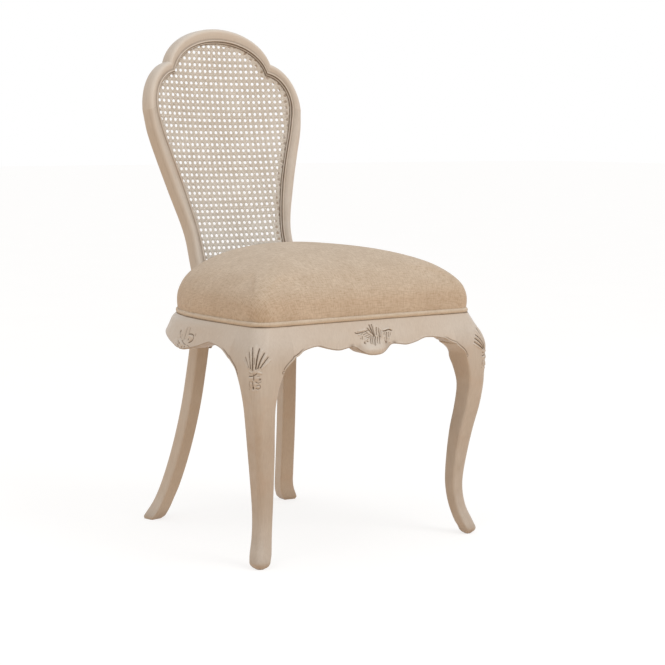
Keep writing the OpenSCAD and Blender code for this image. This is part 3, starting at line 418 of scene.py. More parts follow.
# Rounded swellings under the carving: middle across and up, half sizes, height
FRONT_PADS = [(6, 403, 24, 22, 1.6)]
KNEE_PADS = [(-4, 380, 25, 24, 0.8), (-4.5, 342, 14, 19, 1.2)]
SIDE_PADS = [(157, 400, 30, 20, 1.4)]
SIDE_LUMPS = [(154, 383, 38, 10, 2.8), (171, 381, 4.2, 3.6, 1.2), (158, 379.5, 4.2, 3.6, 1.2),
              (145, 380, 4.2, 3.6, 1.2), (136, 383.5, 4.2, 3.6, 1.2), (180, 384, 4.2, 3.6, 1.2)]


def near(points, line):
    """Distance of each point to a line of points, and the place along it from 0 to 1."""
    points, line = np.asarray(points, float), np.asarray(line, float)
    best = np.full(points.shape[:-1], 1e9)
    at = np.zeros(points.shape[:-1])
    steps = np.linalg.norm(np.diff(line, axis=0), axis=1)
    starts = lengths(line)
    for k, step in enumerate(steps):
        d = (line[k + 1] - line[k]) / max(step, 1e-9)
        t = np.clip((points - line[k]) @ d, 0, step)
        gap = np.linalg.norm(points - line[k] - t[..., None] * d, axis=-1)
        closer = gap < best
        best = np.where(closer, gap, best)
        at = np.where(closer, (starts[k] + t) / starts[-1], at)
    return best, at


def traced(points, row):
    """Height of a cut or rib, the points' distances to its smoothed line, and its half widths there."""
    height, w0, w1 = row[:3]
    line = np.reshape(row[3:], (-1, 2)).astype(float)
    if len(line) > 2:
        rows = np.concatenate([np.arange(len(line), dtype=float)[:, None], line], 1)
        q = np.linspace(0, len(line) - 1, 24)
        line = np.stack([curve(rows, q, 1), curve(rows, q, 2)], -1)
    d, t = near(points, line)
    return height, d, mix(w0, w1, t)


def gouge(points, row):
    depth, d, w = traced(points, row)
    return -depth * bell(d, 0, GOUGE_W * w)


def ridge(points, row):
    height, d, w = traced(points, row)
    return height * np.sqrt(np.clip(1 - (d / w)**2, 0, 1))


def pads(points, rows, power=2.0):
    return sum(height * np.exp(-((((points - [q, z]) / [rq, rz])**2).sum(-1))**power)
               for q, z, rq, rz, height in rows)


def dotted(points, dots):
    """Drilled dots: middle across and up, radius, depth."""
    return sum(-depth * bell(np.linalg.norm(points - [q, z], axis=-1), 0, r) for q, z, r, depth in dots)


def carved(points, cuts, ribs, dots):
    """Height of the carving and its glaze: brown by the depth of a cut, rubbed on the ribs."""
    h = np.zeros(points.shape[:-1])
    cut = np.zeros_like(h)
    for row in ribs:
        h = np.maximum(h, ridge(points, row))
    for row in cuts:
        cut = np.minimum(cut, gouge(points, row))
    holes = dotted(points, dots)
    brown = np.clip(-cut / 1.75, 0, 1)**1.3 - 0.25 * np.clip(h - 0.7, 0, 1) * (cut > -0.2)
    return h + cut + holes, brown, holes / 1.4


def front_carving(points):
    h, cut, holes = carved(points, FRONT_CUTS, FRONT_RIBS, FRONT_DOTS)
    # The smooth boss under the shell: hollow flanks, and an edge that rolls in below
    across, up = np.abs(points[..., 0]), points[..., 1]
    above = up - curve(FRONT_EDGE, across)
    flank = np.clip((across - 7) / 35, 0, 1)
    roll = np.sqrt(1 - (1 - np.clip(above / 10, 0, 1))**2)
    boss = BOSS_H * (1 - ease(flank)) * ease((BOSS_TOP - up) / 20) * mix(0.3, 1, roll)
    # Painted shade on the boss's hollow flanks, and in a wedge just above the lower edge where each wing
    # leaves the boss
    painted_shade = 0.22 * ease((flank - 0.25) / 0.5) * ease((1 - flank) / 0.15) * ease((BOSS_TOP - 4 - up) / 8)
    painted_shade = painted_shade + 0.55 * bell(across, 50, 5) * bell(above, 3.4, 2.6)
    return h + boss + pads(points, FRONT_PADS), cut - holes + painted_shade


def knee_carving(points, cuts, ribs):
    h, cut, holes = carved(points, KNEE_CUTS + cuts, KNEE_RIBS + ribs, KNEE_DOTS)
    return h + pads(points, KNEE_PADS) + pads(points, KNEE_LUMPS, 1.5), cut - holes


def side_carving(points):
    h, cut, holes = carved(points, SIDE_CUTS, SIDE_RIBS, SIDE_DOTS)
    return h + pads(points, SIDE_PADS) + pads(points, SIDE_LUMPS, 1.5), 1.3 * cut - holes


def bead(distance, scribed):
    """Height of the edge bead and its brown line, by distance from the lower edge; scribed at the legs."""
    line = mix(0.6 * bell(distance, 0.8, 1.3), bell(distance, 3.9, 0.95), scribed)
    return 0.5 * np.clip(1 - ((distance - 1.9) / 1.9)**2, 0, 1) - 0.5 * line, line


def volute(points, centre):
    """The small scroll that ends the bead on a leg."""
    d = np.linalg.norm(points - np.asarray(centre), axis=-1)
    line = bell(d, 2.6, 0.75)
    return bell(d, 0, 1.8) - 0.7 * line, line * 0.95


# Points of a joint's lower edge that lie on the leg
JOINT_LEG = 60


def edge_line(rail_low):
    """Lower edge at a leg and the rail beside it: across from the joint, positive on the leg, and height."""
    z = np.linspace(300, BLOCK_LOW, JOINT_LEG)
    w = np.linspace(0, 40, 40)
    return np.concatenate([np.stack([BLOCK - leg_inner(z), z], -1), np.stack([-w, rail_low(w)], -1)])


FRONT_JOINT = edge_line(lambda w: curve(FRONT_EDGE, BLOCK_X - w))
SIDE_JOINT = edge_line(lambda w: curve(SIDE_EDGE, np.interp(w, SIDE_LEN, SIDE_S)))
# Place across the carving that the inner faces have, far from any of it
UNCARVED = 1e6


def leg(z, turn, cuts, ribs):
    """Rings of the right front leg with its carving, and their glaze and painted shade; turn -1 keeps the
    shell unmirrored.
    """
    low = np.maximum(0.6, z)
    sole = np.where(
        low >= TOE_ROUND, 0, TOE_ROUND - np.sqrt(np.maximum(0, TOE_ROUND**2 - (TOE_ROUND - low)**2)))
    o, i = swell(z) - sole, leg_inner(z) - sole
    x1, y1, x0, y0 = HALF_W + o, -SEAT_FRONT - o, HALF_W - i, -SEAT_FRONT + i
    big = np.minimum(mix(SHIN_R, CORNER_R, ease((z - RT + 190) / 120)), 0.5 * (o + i))
    r = np.minimum(mix(5, 0.12, ease((z - BLOCK_LOW + 60) / 60)), 0.3 * (o + i))
    h = np.minimum(np.where(
        z < BLOCK_LOW, mix(9, INNER_ROUND, ease((z - BLOCK_LOW + 36) / 36)),
        mix(INNER_ROUND, 2, ease((z - BLOCK_LOW - 12) / 30))), 0.56 * (o + i))
    # Where the corner comes out under the rails it is cut almost straight across
    bulge = 1 - 0.62 * bell(z, BLOCK_LOW, 11)
    cols = []

    def column(x, y, nx, ny, q=UNCARVED):
        """One column of points, its direction out and its place across the carved face."""
        cols.append([np.broadcast_to(c, z.shape) for c in (x, y, nx, ny, q)])

    def line(xa, ya, xb, yb, n, nx, ny, q=lambda x, y: UNCARVED):
        for t in np.linspace(0, 1, n + 1)[:-1]:
            x, y = mix(xa, xb, t), mix(ya, yb, t)
            column(x, y, nx, ny, q(x, y))

    def arc(cx, cy, rr, start, n, q=lambda a: UNCARVED):
        for t in np.linspace(0, 1, n + 1)[:-1]:
            a = math.radians(start + 90 * t)
            column(cx + rr * math.cos(a), cy + rr * math.sin(a), math.cos(a), math.sin(a), q(a))

    quarter = big * math.pi / 4
    line(x0 + r, y1, x1 - big, y1, 56, 0, -1, lambda x, y: quarter + (x1 - big) - x)
    arc(x1 - big, y1 + big, big, -90, 54, lambda a: -big * (a + math.pi / 4))
    line(x1, y1 + big, x1, y0 - r, 44, 1, 0, lambda x, y: -(quarter + y - (y1 + big)))
    arc(x1 - r, y0 - r, r, 0, 5)
    line(x1 - r, y0, x0 + h, y0, 6, 0, 1)
    for t in np.linspace(0, 1, 11)[:-1]:
        a = math.radians(90 + 90 * t)
        column(x0 + h + h * mix(-t, math.cos(a), bulge), y0 - h + h * mix(1 - t, math.sin(a), bulge),
               math.cos(a), math.sin(a))
    line(x0, y0 - h, x0, y1 + r, 6, -1, 0)
    arc(x0 + r, y1 + r, r, 180, 5)
    x, y, nx, ny, q = (np.stack(c, 1) for c in zip(*cols))
    z = np.broadcast_to(z[:, None], x.shape)
    outer = np.abs(q) < UNCARVED / 10
    points = np.stack([np.where(outer, q * turn, 0), z], -1)
    knee = outer & (z > 315) & (np.abs(q) < 40)
    height, glaze = np.zeros_like(x), np.zeros_like(x)
    height[knee], glaze[knee] = knee_carving(points[knee], cuts, ribs)
    # The bead and its scribed line turn down from the rails and end in a volute on each face
    for mask, across, joint, end in [
            (outer & (q > 0), x - BLOCK_X, FRONT_JOINT, (26.0, 354.0)),
            (outer & (q < 0), BLOCK_Y - y, SIDE_JOINT, (26.5, 351.5))]:
        face = mask & (z > 340) & (z < 400)
        flat = np.stack([across[face], z[face]], -1)
        up = ease((flat[:, 1] - end[1] - 1) / 3)
        hb, lb = bead(near(flat, joint)[0], 1.0)
        hv, lv = volute(flat, end)
        away = np.linalg.norm(flat - end, axis=-1) > 4.6
        height[face] += np.where(away, hb * up, hv)
        glaze[face] += np.where(away, lb * up, lv) * 0.9
    # The top edge is eased, with a brown line of painted shadow along it under the piping; the foot is
    # darker, and painted shade darkens the knee and the shin
    height = height * ease((RT - 2 - z) / 6) - 0.6 * ease((z - RT - LIP + 0.8) / 0.8)
    glaze += 0.85 * ease((z - RT - LIP + 1.1) / 0.6)
    glaze += 0.25 * ease((30 - z) / 30) + 0.11 * ease((z - 250) / 80) * ease((440 - z) / 60)
    glaze += 0.19 * ease((340 - z) / 120) * ease((z + 20) / 60)
    return np.stack([x + nx * height, y + ny * height, z], -1), glaze


LEG_Z = np.unique(np.concatenate([
    [0, 0.6, 1.4, 2.6, 4.2, 6.2, 8.6, 11.2], np.arange(14, 312, 3.0), np.arange(312, 408, 0.8),
    np.arange(408, RT + LIP - 1.4, 1.8), RT + LIP - np.array([0.9, 0.5, 0.2, 0])]))
for side, turn, cuts, ribs in [("right", -1, RIGHT_CUTS, RIGHT_RIBS), ("left", 1, LEFT_CUTS, LEFT_RIBS)]:
    both_sides("front_leg", "carved", *leg(LEG_Z, turn, cuts, ribs), angle=60, sides=[side])


def rail_rings(base, out, low, thick, share, across, from_leg, edge, carving, extra=lambda z: 0):
    """Rings along a rail: up its inner side, over the top and down the shaped face; and their glaze and
    painted shade.

    Base and out are its line and its directions out, in plan; across is the distance along the face.
    The scribed line that the bead has on the legs fades 12 to 30 mm from them."""
    top = RT + LIP
    z = mix(top - 0.7, (low + 1.3)[:, None], np.linspace(0, 1, 85)[None, :])
    points = np.stack([np.broadcast_to(across[:, None], z.shape), z], -1)
    height, glaze = carving(points)
    d = np.full(z.shape, 99.0)
    zone = z - low[:, None] < 30
    d[zone] = near(points[zone], edge)[0]
    hb, lb = bead(d, 1 - ease((from_leg[:, None] - 12) / 18))
    height, glaze = height + hb * (d < 12), glaze + lb * (d < 12)
    # Painted shadow along the top of the face, under the piping
    glaze[:, 0] += 0.6
    reach = swell(z) * share[:, None] + height + extra(z)
    face = np.stack([base[:, None, k] + out[:, None, k] * reach for k in (0, 1)] + [z], -1)

    def at(off, zz):
        return at_height(base + out * off[:, None], zz + 0 * off)

    first, last, inner = reach[:, 0], reach[:, -1], -thick
    before = [at(inner, mix(low + 2.5, RT, share)) for share in (0, 0.33, 0.66)]
    before += [at(inner, top - 0.8), at(inner + 0.8, top), at(first - 0.6, top), at(first - 0.15, top - 0.25)]
    after = [at(last - 0.25, low + 0.6), at(last - 0.9, low + 0.15), at(last - 2.0, low)]
    after += [at(mix(last, inner, share), mix(low, low + 1.5, share)) for share in (0.4, 0.75)]
    after += [at(inner + 1.0, low + 1.5), at(inner + 0.2, low + 1.8)]
    rings = np.concatenate([np.stack(before, 1), face, np.stack(after, 1)], 1)
    # Painted shadow: a brown line under the piping; painted shade on the underside
    over, under = np.zeros((len(low), len(before))), np.full((len(low), len(after)), 0.3)
    over[:, 4:] = 0.85
    return rings, np.concatenate([over, glaze, under], 1)


# The rings are closer at the carving: the shell of the front rail, and the spray of a side rail
SHELL, SPRAY = 53, (112, 190)
x = np.concatenate([np.linspace(-BLOCK_X, -SHELL, 91)[:-1], np.linspace(-SHELL, SHELL, 161),
                    np.linspace(SHELL, BLOCK_X, 91)[1:]])
low = curve(FRONT_EDGE, np.abs(x))
base = np.stack([x, front_line(x)], -1)
corner = (FRONT_JOINT + [BLOCK_X, 0])[:JOINT_LEG]
edge = np.concatenate([corner * [-1, 1], np.stack([x, low], -1)[::2], corner[::-1]])
rings, glaze = rail_rings(
    base, np.broadcast_to([0.0, -1.0], base.shape), low, RAIL_T - base[:, 1] - SEAT_FRONT, front_share(x), x,
    BLOCK_X - np.abs(x), edge, front_carving)
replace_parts(piece("front_rail_carved", rings, "paint", glaze=glaze, angle=38), "front_rail")

along = np.concatenate([np.linspace(0, SPRAY[0], 81)[:-1], np.linspace(*SPRAY, 121),
                        np.linspace(SPRAY[1], SIDE_LEN[-1], 111)[1:]])
s = np.interp(along, SIDE_LEN, SIDE_S)
low = curve(SIDE_EDGE, s)
edge = np.concatenate([(SIDE_JOINT * [-1, 1])[:JOINT_LEG], np.stack([along, low], -1)])
rings, glaze = rail_rings(
    side_line(s), side_out(s), low, mix(RAIL_T, RAIL_END_T, ease((s - 0.6) / 0.4)), side_share(s), along,
    along, edge, side_carving, lambda z: side_round(s[:, None], z))
both_sides("side_rail", "carved", rings, glaze, 38)

# Rear rail with eased edges, arched below to 3 mm from the posts: y, low or high side, height above it
half = post_face_x(REAR_Y)
u = np.linspace(-1, 1, 161)
t = np.minimum(1, np.abs(u) * half / (half - 3))
low = REAR_RAIL_LOW + REAR_RAIL_RISE * mix(np.sqrt(1 - t**2), 1 - t**2, 0.45)
r, y0, y1 = 1.5, REAR_Y - REAR_RAIL_T / 2, REAR_Y + REAR_RAIL_T / 2
section = [(y1, 0, r), (y1, 1, -r), (y1 - r / 3, 1, -r / 3), (y1 - r, 1, 0), (y0 + r, 1, 0),
           (y0 + r / 3, 1, -r / 3), (y0, 1, -r), (y0, 0, r), (y0 + r / 3, 0, r / 3), (y0 + r, 0, 0),
           (y1 - r, 0, 0), (y1 - r / 3, 0, r / 3)]
rings = np.stack([np.stack([u * post_face_x(y), np.full_like(u, y), mix(low, RT, top) + dz], -1)
                  for y, top, dz in section], 1)
# Painted shade under the rail, on its lower back edge and along its top front edge under the cushion
painted_shade = np.zeros(rings.shape[:2])
painted_shade[:, [0, 6, 7, 8, 9, 10, 11]] = 0.35
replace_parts(piece("rear_rail_arched", rings, "paint", glaze=painted_shade), "rear_rail")


# Back: u across, v up, d in front of the cane
def back_point(u, v, d):
    u, v, d = np.broadcast_arrays(*(np.asarray(q, float) for q in (u, v, d)))
    a = u / BACK_R
    sag, bow = BACK_R * (1 - np.cos(a)), v**2 / (2 * SWEEP_R)
    s, c = math.sin(RAKE), math.cos(RAKE)
    across = np.stack([np.cos(a), -np.sin(a) * c, np.sin(a) * s], -1)
    up = unit(np.stack([0 * v, s - v / SWEEP_R * c, c + v / SWEEP_R * s], -1))
    p = np.stack([BACK_R * np.sin(a), CANE_Y + v * s - (sag + bow) * c, CANE_Z + v * c + (sag + bow) * s], -1)
    return p + np.cross(across, up) * d[..., None]


# Stile by height: half width of the opening, and of the frame
STILE = [[v, w, w + face] for v, w, face in [
    (-FOOT_V, WAIST_W, STILE_W), (-190, WAIST_W + 2, 21.2), (-103, mix(WAIST_W, SHOULDER_W, 0.31), 26.5),
    (-40, mix(WAIST_W, SHOULDER_W, 0.6), 27), (10, mix(WAIST_W, SHOULDER_W, 0.85), 25.5),
    (SHOULDER_V - 8, SHOULDER_W, SIDE_FACE)]]


def shoulder_at(p, v, w, k):
    full = math.acos((p[0] - SHOULDER_U) / (w - SHOULDER_U))
    high = (p[1] - v) / math.sin(full)
    return np.stack([SHOULDER_U + (w - SHOULDER_U) * np.cos(full * k), v + high * np.sin(full * k)], -1)


def crown_at(p, v, top, k):
    start = math.asin((p[1] - v) / (top - v))
    a = mix(start, math.pi / 2, k)
    return np.stack([p[0] / math.cos(start) * np.cos(a), v + (top - v) * np.sin(a)], -1)


def crest_pairs(n_shoulder, n_crown):
    """Inner and outer points over the right half of the crest, from the stile to the top."""
    k, c = np.linspace(0, 1, n_shoulder + 1), np.linspace(0, 1, n_crown + 1)[1:]
    shoulder = np.stack([shoulder_at(NOTCH, SHOULDER_V, SHOULDER_W, k),
                         shoulder_at(OUTER_NOTCH, SHOULDER_V - OUTER_LOWER, SHOULDER_W + SIDE_FACE, k)], 1)
    crown = np.stack([crown_at(NOTCH, CROWN_V - 77.5, CROWN_V, c),
                      crown_at(OUTER_NOTCH, CROWN_V + CROWN_FACE - 90.4, CROWN_V + CROWN_FACE, c)], 1)
    return np.concatenate([shoulder, crown])


def stile_pairs(n):
    v = mix(-FOOT_V, SHOULDER_V - 8, np.arange(n) / n)
    return np.concatenate([
        np.stack([np.stack([curve(STILE, v, col), v], -1) for col in (1, 2)], 1), crest_pairs(8, 8)[:1]])


LEDGE_D = REBATE + CANE_T / 2 + FIT


def moulding(w):
    """Section of the frame: a bead at the opening, a cove, a swelling face and a rounded outer edge."""
    t = FRAME_T
    return np.array([
        (0, -LEDGE_D), (0, -4.2), (0.02, -2.6), (0.15, -1.7), (0.6, -0.85), (1.4, -0.35), (2.3, -0.2),
        (3.2, -0.45), (3.8, -0.85), (4.15, -1.4), (4.45, -1.9), (4.9, -2.1), (5.6, -2.1), (6.8, -1.95),
        (8.4, -1.65), (w * 0.45, -1.15), (w * 0.52, -0.75), (w - 10.5, -0.35), (w - 8.5, -0.02),
        (w - 7.0, 0), (w - 5.6, -0.15), (w - 4.4, -0.6), (w - 3.2, -1.4), (w - 2.1, -2.6), (w - 1.2, -4.1),
        (w - 0.5, -5.9), (w - 0.1, -7.6), (w, -9.5), (w, -13), (w - 0.1, -t + 6), (w - 0.5, -t + 3.4),
        (w - 1.3, -t + 1.7), (w - 2.5, -t + 0.5), (w - 4, -t), (w * 0.5, -t), (3, -t), (-LEDGE + 3.5, -t),
        (-LEDGE + 1.6, -t + 0.6), (-LEDGE + 0.4, -t + 1.9), (-LEDGE, -t + 3.6), (-LEDGE, -t + 9),
        (-LEDGE, -LEDGE_D - 3), (-LEDGE, -LEDGE_D)])


# Painted shade along the opening's edge, where the bead meets the cane, and at the ledge; brown glaze in the
# cove; rubbed lighter on the bead and the outer swelling
SECTION = moulding(STILE_W)
MOULDING_GLAZE_AND_SHADE = np.zeros(len(SECTION))
MOULDING_GLAZE_AND_SHADE[:16] = [
    0.9, 0.8, 0.8, 0.8, 0.75, 0.35, -0.15, -0.15, 0.15, 0.4, 0.62, 0.58, 0.36, 0.28, 0.2, 0.1]
MOULDING_GLAZE_AND_SHADE[20:27] = [-0.1, -0.16, -0.16, -0.1, 0, 0.05, 0.1]
MOULDING_GLAZE_AND_SHADE[-1] = 0.5


def frame_rings(pairs):
    out = []
    for a, b in pairs:
        w = float(np.linalg.norm(b - a))
        p = moulding(w)
        q = mix(a, b, p[:, :1] / w)
        out.append(back_point(q[:, 0], q[:, 1], REBATE + p[:, 1]))
    return np.array(out)


def plain_section(like):
    """The square post's outline, sampled at the same shares of its length as the moulding's."""
    w, t, r = POST_W, POST_T, 3.0
    path = [(0, -9)]
    for cx, cy, start in [(r, -r, 180), (w - r, -r, 90), (w - r, -t + r, 0), (r, -t + r, -90)]:
        path += [(cx + r * math.cos(math.radians(start - a)), cy + r * math.sin(math.radians(start - a)))
                 for a in range(0, 91, 15)]
    path = np.array(path + [(0, -9.01)])
    length, share = lengths(path), lengths(np.concatenate([like, like[:1]]))
    at = share[:-1] / share[-1] * length[-1]
    return np.stack([np.interp(at, length, path[:, 0]), np.interp(at, length, path[:, 1])], -1)


PLAIN = plain_section(SECTION)


def post_ring(z):
    across, behind = float(curve(POST, z, 1)), float(curve(POST, z, 2))
    flare = (1 - 0.2 * (1 - ease(z / 6))) * (1 + 0.12 * (1 - ease((z - 6) / 40)))
    return at_height(turned(across + (PLAIN[:, 0] - POST_W / 2) * flare,
                            behind - (PLAIN[:, 1] + POST_T / 2) * flare), z)


post_z = np.concatenate([[0, 0.8, 2, 3.5, 6, 10, 16, 24], np.arange(32, RT + 50, 6.0), [RT + 58]])
stile = frame_rings(stile_pairs(64))
plain = 0.25 * ease((30 - post_z) / 30) + 0.15 * ease((post_z - 400) / 60)
both_sides("rear_post", "moulded", np.concatenate([[post_ring(z) for z in post_z], stile]), np.concatenate([
    np.tile(plain[:, None], (1, len(SECTION))), np.tile(MOULDING_GLAZE_AND_SHADE, (len(stile), 1))]))

# The crest is painted lighter than the posts, a painted highlight over its face and outer edge
right = frame_rings(crest_pairs(34, 56))
rings = np.concatenate([right, (right[:-1] * [-1, 1, 1])[::-1]])
rubbed_and_lit = MOULDING_GLAZE_AND_SHADE.copy()
rubbed_and_lit[14:28] -= 0.2
crest = piece("crest_rail_moulded", rings, "paint", glaze=np.tile(rubbed_and_lit, (len(rings), 1)), angle=34)
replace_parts(crest, "crest_rail")

# Lower rail of the back; it ends on the posts' inner faces
lo, hi, back = -FOOT_V - LOWER_H, -FOOT_V, REBATE - FRAME_T
section = [(lo + 1.5, REBATE), (lo + 0.4, REBATE - 0.4), (lo, REBATE - 1.5), (lo, back + 1.5),
           (lo + 0.4, back + 0.4), (lo + 1.5, back), (hi + LEDGE - 1.2, back), (hi + LEDGE, back + 1.2),
           (hi + LEDGE, REBATE - LEDGE_D), (hi, REBATE - LEDGE_D), (hi, REBATE - 1.5),
           (hi - 0.4, REBATE - 0.4), (hi - 1.5, REBATE)]
rings = np.array([[back_point(k * post_face_x(float(back_point(0, v, d)[1])), v, d) for v, d in section]
                  for k in np.linspace(-1, 1, 41)])
lower = piece("back_lower_rail_eased", rings, "paint", glaze=np.zeros(rings.shape[:2]))
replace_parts(lower, "back_lower_rail")


def opening_loop(free, n_stile=40, n_shoulder=24, n_crown=36):
    """Edge of the cane's opening, moved inwards."""
    pairs = np.concatenate([stile_pairs(n_stile)[1:], crest_pairs(n_shoulder, n_crown)[1:]])
    moved = pairs[:, 0] - unit(pairs[:, 1] - pairs[:, 0]) * free
    return both_halves(np.concatenate([[[0, -FOOT_V + free], [WAIST_W - free, -FOOT_V + free]], moved]))


# Spline: a rounded strip pressed into the groove over the cane's edge; share across, share up, painted shade
# at its edges
profile = [(1, 0, 0.8), (0, 0, 0.9), (0, 0.3, 0.7), (0.12, 0.48, 0.25), (0.32, 0.6, 0), (0.52, 0.62, 0),
           (0.72, 0.55, 0.1), (0.9, 0.4, 0.4), (1, 0.22, 0.8)]
rings = [[back_point(*mix(a, b, s), CANE_T / 2 + FIT + SPLINE_H * h) for s, h, _ in profile]
         for a, b in zip(opening_loop(FIT), opening_loop(FIT + SPLINE_W))]
rings.append(rings[0])
spline = piece("cane_spline_rounded", rings, "paint", caps=False,
               glaze=np.tile([g for _, _, g in profile], (len(rings), 1)))
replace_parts(spline, "cane_spline")

# Cane: pairs of strands up and across and single ones both ways at a slant, woven over and under. Width
# of a strand, and half the distance between the middles of a pair
STRANDS = {"up": (2.65, 1.65), "across": (2.9, 1.85), "slant": (2.55, 0), "slope": (2.55, 0)}
CANE_U, CANE_V, TRACE = -1.62, 3.7, 0.6


def inside_loop(points, loop):
    x, y = points[:, 0][:, None], points[:, 1][:, None]
    ax, ay = loop[:, 0], loop[:, 1]
    bx, by = np.roll(ax, -1), np.roll(ay, -1)
    cross = ((ay > y) != (by > y)) & (x < (bx - ax) * (y - ay) / (by - ay + 1e-12) + ax)
    return cross.sum(1) % 2 == 1


def strand_runs():
    """Every strand past the opening: its kind, start, direction, length and number."""
    p, reach = CANE_PITCH, 15 * CANE_PITCH
    for i in range(-14, 15):
        for side in (-1, 1):
            yield "up", (CANE_U + i * p + side * STRANDS["up"][1], -FOOT_V - 5), (0, 1), 470, i * 2 + side
    for j in range(-22, 18):
        for side in (-1, 1):
            yield "across", (-180, CANE_V + j * p + side * STRANDS["across"][1]), (1, 0), 360, j * 2 + side
    for k in range(-34, 36):
        yield "slant", (CANE_U - reach, CANE_V + (k - 0.5) * p - reach), (1, 1), 700, k
        yield "slope", (CANE_U - reach, CANE_V + (k - 0.5) * p + reach), (1, -1), 700, k


def strand_depth(kind, number, u, v):
    """How far a strand lies in front of the cane's middle at pitches u across and v up."""
    if kind == "up":
        over = 1 if number % 4 in (1, 3) and (number // 2) % 2 == 0 else -1
        return 0.42 * over * np.cos(math.pi * v) * (1 if number % 2 else -1)
    if kind == "across":
        return 0.10 * np.cos(math.pi * u + number)
    return (0.95 if kind == "slant" else -0.95) * np.cos(2 * math.pi * u)


def strands():
    loop, edge = opening_loop(0.35, 20, 12, 18), opening_loop(0.0, 20, 12, 18)
    edge = np.concatenate([edge, edge[:1]])
    verts, faces, tints, first = [], [], [], 0
    for kind, start, way, length, number in strand_runs():
        way = np.array(way, float) / math.hypot(*way)
        across = np.array([-way[1], way[0]])
        t = np.arange(0, length, TRACE)
        ok = inside_loop(np.array(start) + t[:, None] * way, loop)
        changes = np.flatnonzero(np.diff(np.concatenate([[0], ok.astype(int), [0]])))
        step = 2.2 if kind in ("slant", "slope") else 3.1
        for a, b in zip(changes[::2], changes[1::2]):
            if (b - a) * TRACE < 6:
                continue
            n = max(3, int(round((b - 1 - a) * TRACE / step)) + 1)
            q = np.linspace(t[a], t[b - 1], n)
            c = np.array(start) + q[:, None] * way
            d = strand_depth(kind, number, (c[:, 0] - CANE_U) / CANE_PITCH, (c[:, 1] - CANE_V) / CANE_PITCH)
            wide = STRANDS[kind][0] * (1 + 0.05 * math.sin(number * 2.3)) / 2
            shift = 0.12 * math.sin(number * 1.9 + 1) + 0.1 * np.sin(q / 37 + number)
            tint = 0.5 + 0.5 * math.sin(number * 12.9898 + len(kind) * 4.1) * 0.9
            for w, lift in ((-wide, 0), (0, 0.22), (wide, 0)):
                e = c + across * (w + shift[:, None])
                verts.append(back_point(e[:, 0], e[:, 1], d + lift))
                # Tints run to a half; from there to one is a brown line of painted shadow beside the frame
                frame_shadow = 1 - ease((near(e, edge)[0] - 3.9) / 1.2)
                tints.append(mix(0.5 * tint, 1.0, frame_shadow))
            faces += [(k, k + 1, k + n + 1, k + n) for s in range(2)
                      for k in range(first + s * n, first + s * n + n - 1)]
            first += 3 * n
    return np.concatenate(verts), faces, np.concatenate(tints)


verts, faces, tints = strands()
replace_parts(from_faces("cane_woven", verts, faces, "cane", glaze=tints, angle=80), "cane_panel")

# Cushion: a crowned dome, swollen by a cloth simulation, cut round the posts
DOME_MID = np.array([0, -3.0])
CUT_GAP, VOXEL, SWELL_CAP, FRAMES = 0.8, 0.0055, 0.0032, 20


def dome(loop, steps):
    """Rings of the cushion, from its foot to its crown."""
    low = RT + FULL_H
    rings = []
    for z in np.linspace(RT + 0.6, RT + FULL_H / 2 + 4, 6):
        k = np.clip((z - RT) / FULL_H, 0, 1)
        rings.append((1 - DRAW_IN / HALF_W * (1 - k)**2, z))
    for a in np.radians(np.linspace(90, 0, steps + 1)):
        r = max(math.sin(a), 0)**0.828
        rings.append((r, low + (DOME_H - FULL_H) * max(0, math.cos(a))**0.692 + CROWN_H * (1 - r * r)))
    wide = inset(loop, -CUSHION_OUT)
    return np.array([at_height(mix(DOME_MID, wide, share),
                               z + CUSHION_OUT * max(0, z - low) / (DOME_H + CROWN_H)) for share, z in rings])


def post_cut(side):
    rows = []
    for rise in (-14, 22, 44, 60, 90, 150):
        z = RT + rise
        behind = float(curve(POST, min(z, RT + 68), 2)) + max(0, z - RT - 68) * 0.36
        q = [turned(POST_X + a * (POST_W / 2 + CUT_GAP), behind + (-POST_T / 2 - CUT_GAP if b < 0 else 60))
             for a, b in ((-1, -1), (1, -1), (1, 1), (-1, 1))]
        rows.append([[side * x, y, z] for x, y in (q if side > 0 else q[::-1])])
    return rows


def back_cut():
    low, high, front = -FOOT_V - LOWER_H - CUT_GAP, -FOOT_V + 34, REBATE + CUT_GAP
    return [[back_point(u, v, d) for v, d in ((low, front), (low, -60), (high, -60), (high, front))]
            for u in (-WAIST_W - 6, 0, WAIST_W + 6)]


def taken(obj):
    """The object's mesh with its modifiers applied."""
    graph = bpy.context.evaluated_depsgraph_get()
    graph.update()
    mesh = bpy.data.meshes.new_from_object(obj.evaluated_get(graph))
    obj.modifiers.clear()
    obj.data = mesh
    return mesh


def coords(mesh):
    co = np.empty(len(mesh.vertices) * 3)
    mesh.vertices.foreach_get("co", co)
    return co.reshape(-1, 3)


cushion = piece("seat_cushion", dome(both_halves(seat_half(24, 10, 60)), 44), "linen")
cutters = []
for name, rings in [("cut_right", post_cut(1)), ("cut_left", post_cut(-1)), ("cut_back", back_cut())]:
    rings = np.asarray(rings)
    cutters.append(solid(name, rings.reshape(-1, 3), skin(rings)))
    m = cushion.modifiers.new(name, "BOOLEAN")
    m.operation, m.solver, m.object = "DIFFERENCE", "EXACT", cutters[-1]
taken(cushion)
for c in cutters:
    bpy.data.objects.remove(c)
m = cushion.modifiers.new("voxels", "REMESH")
m.mode, m.voxel_size = "VOXEL", VOXEL
mesh = taken(cushion)

start = coords(mesh)
move = np.zeros_like(start)
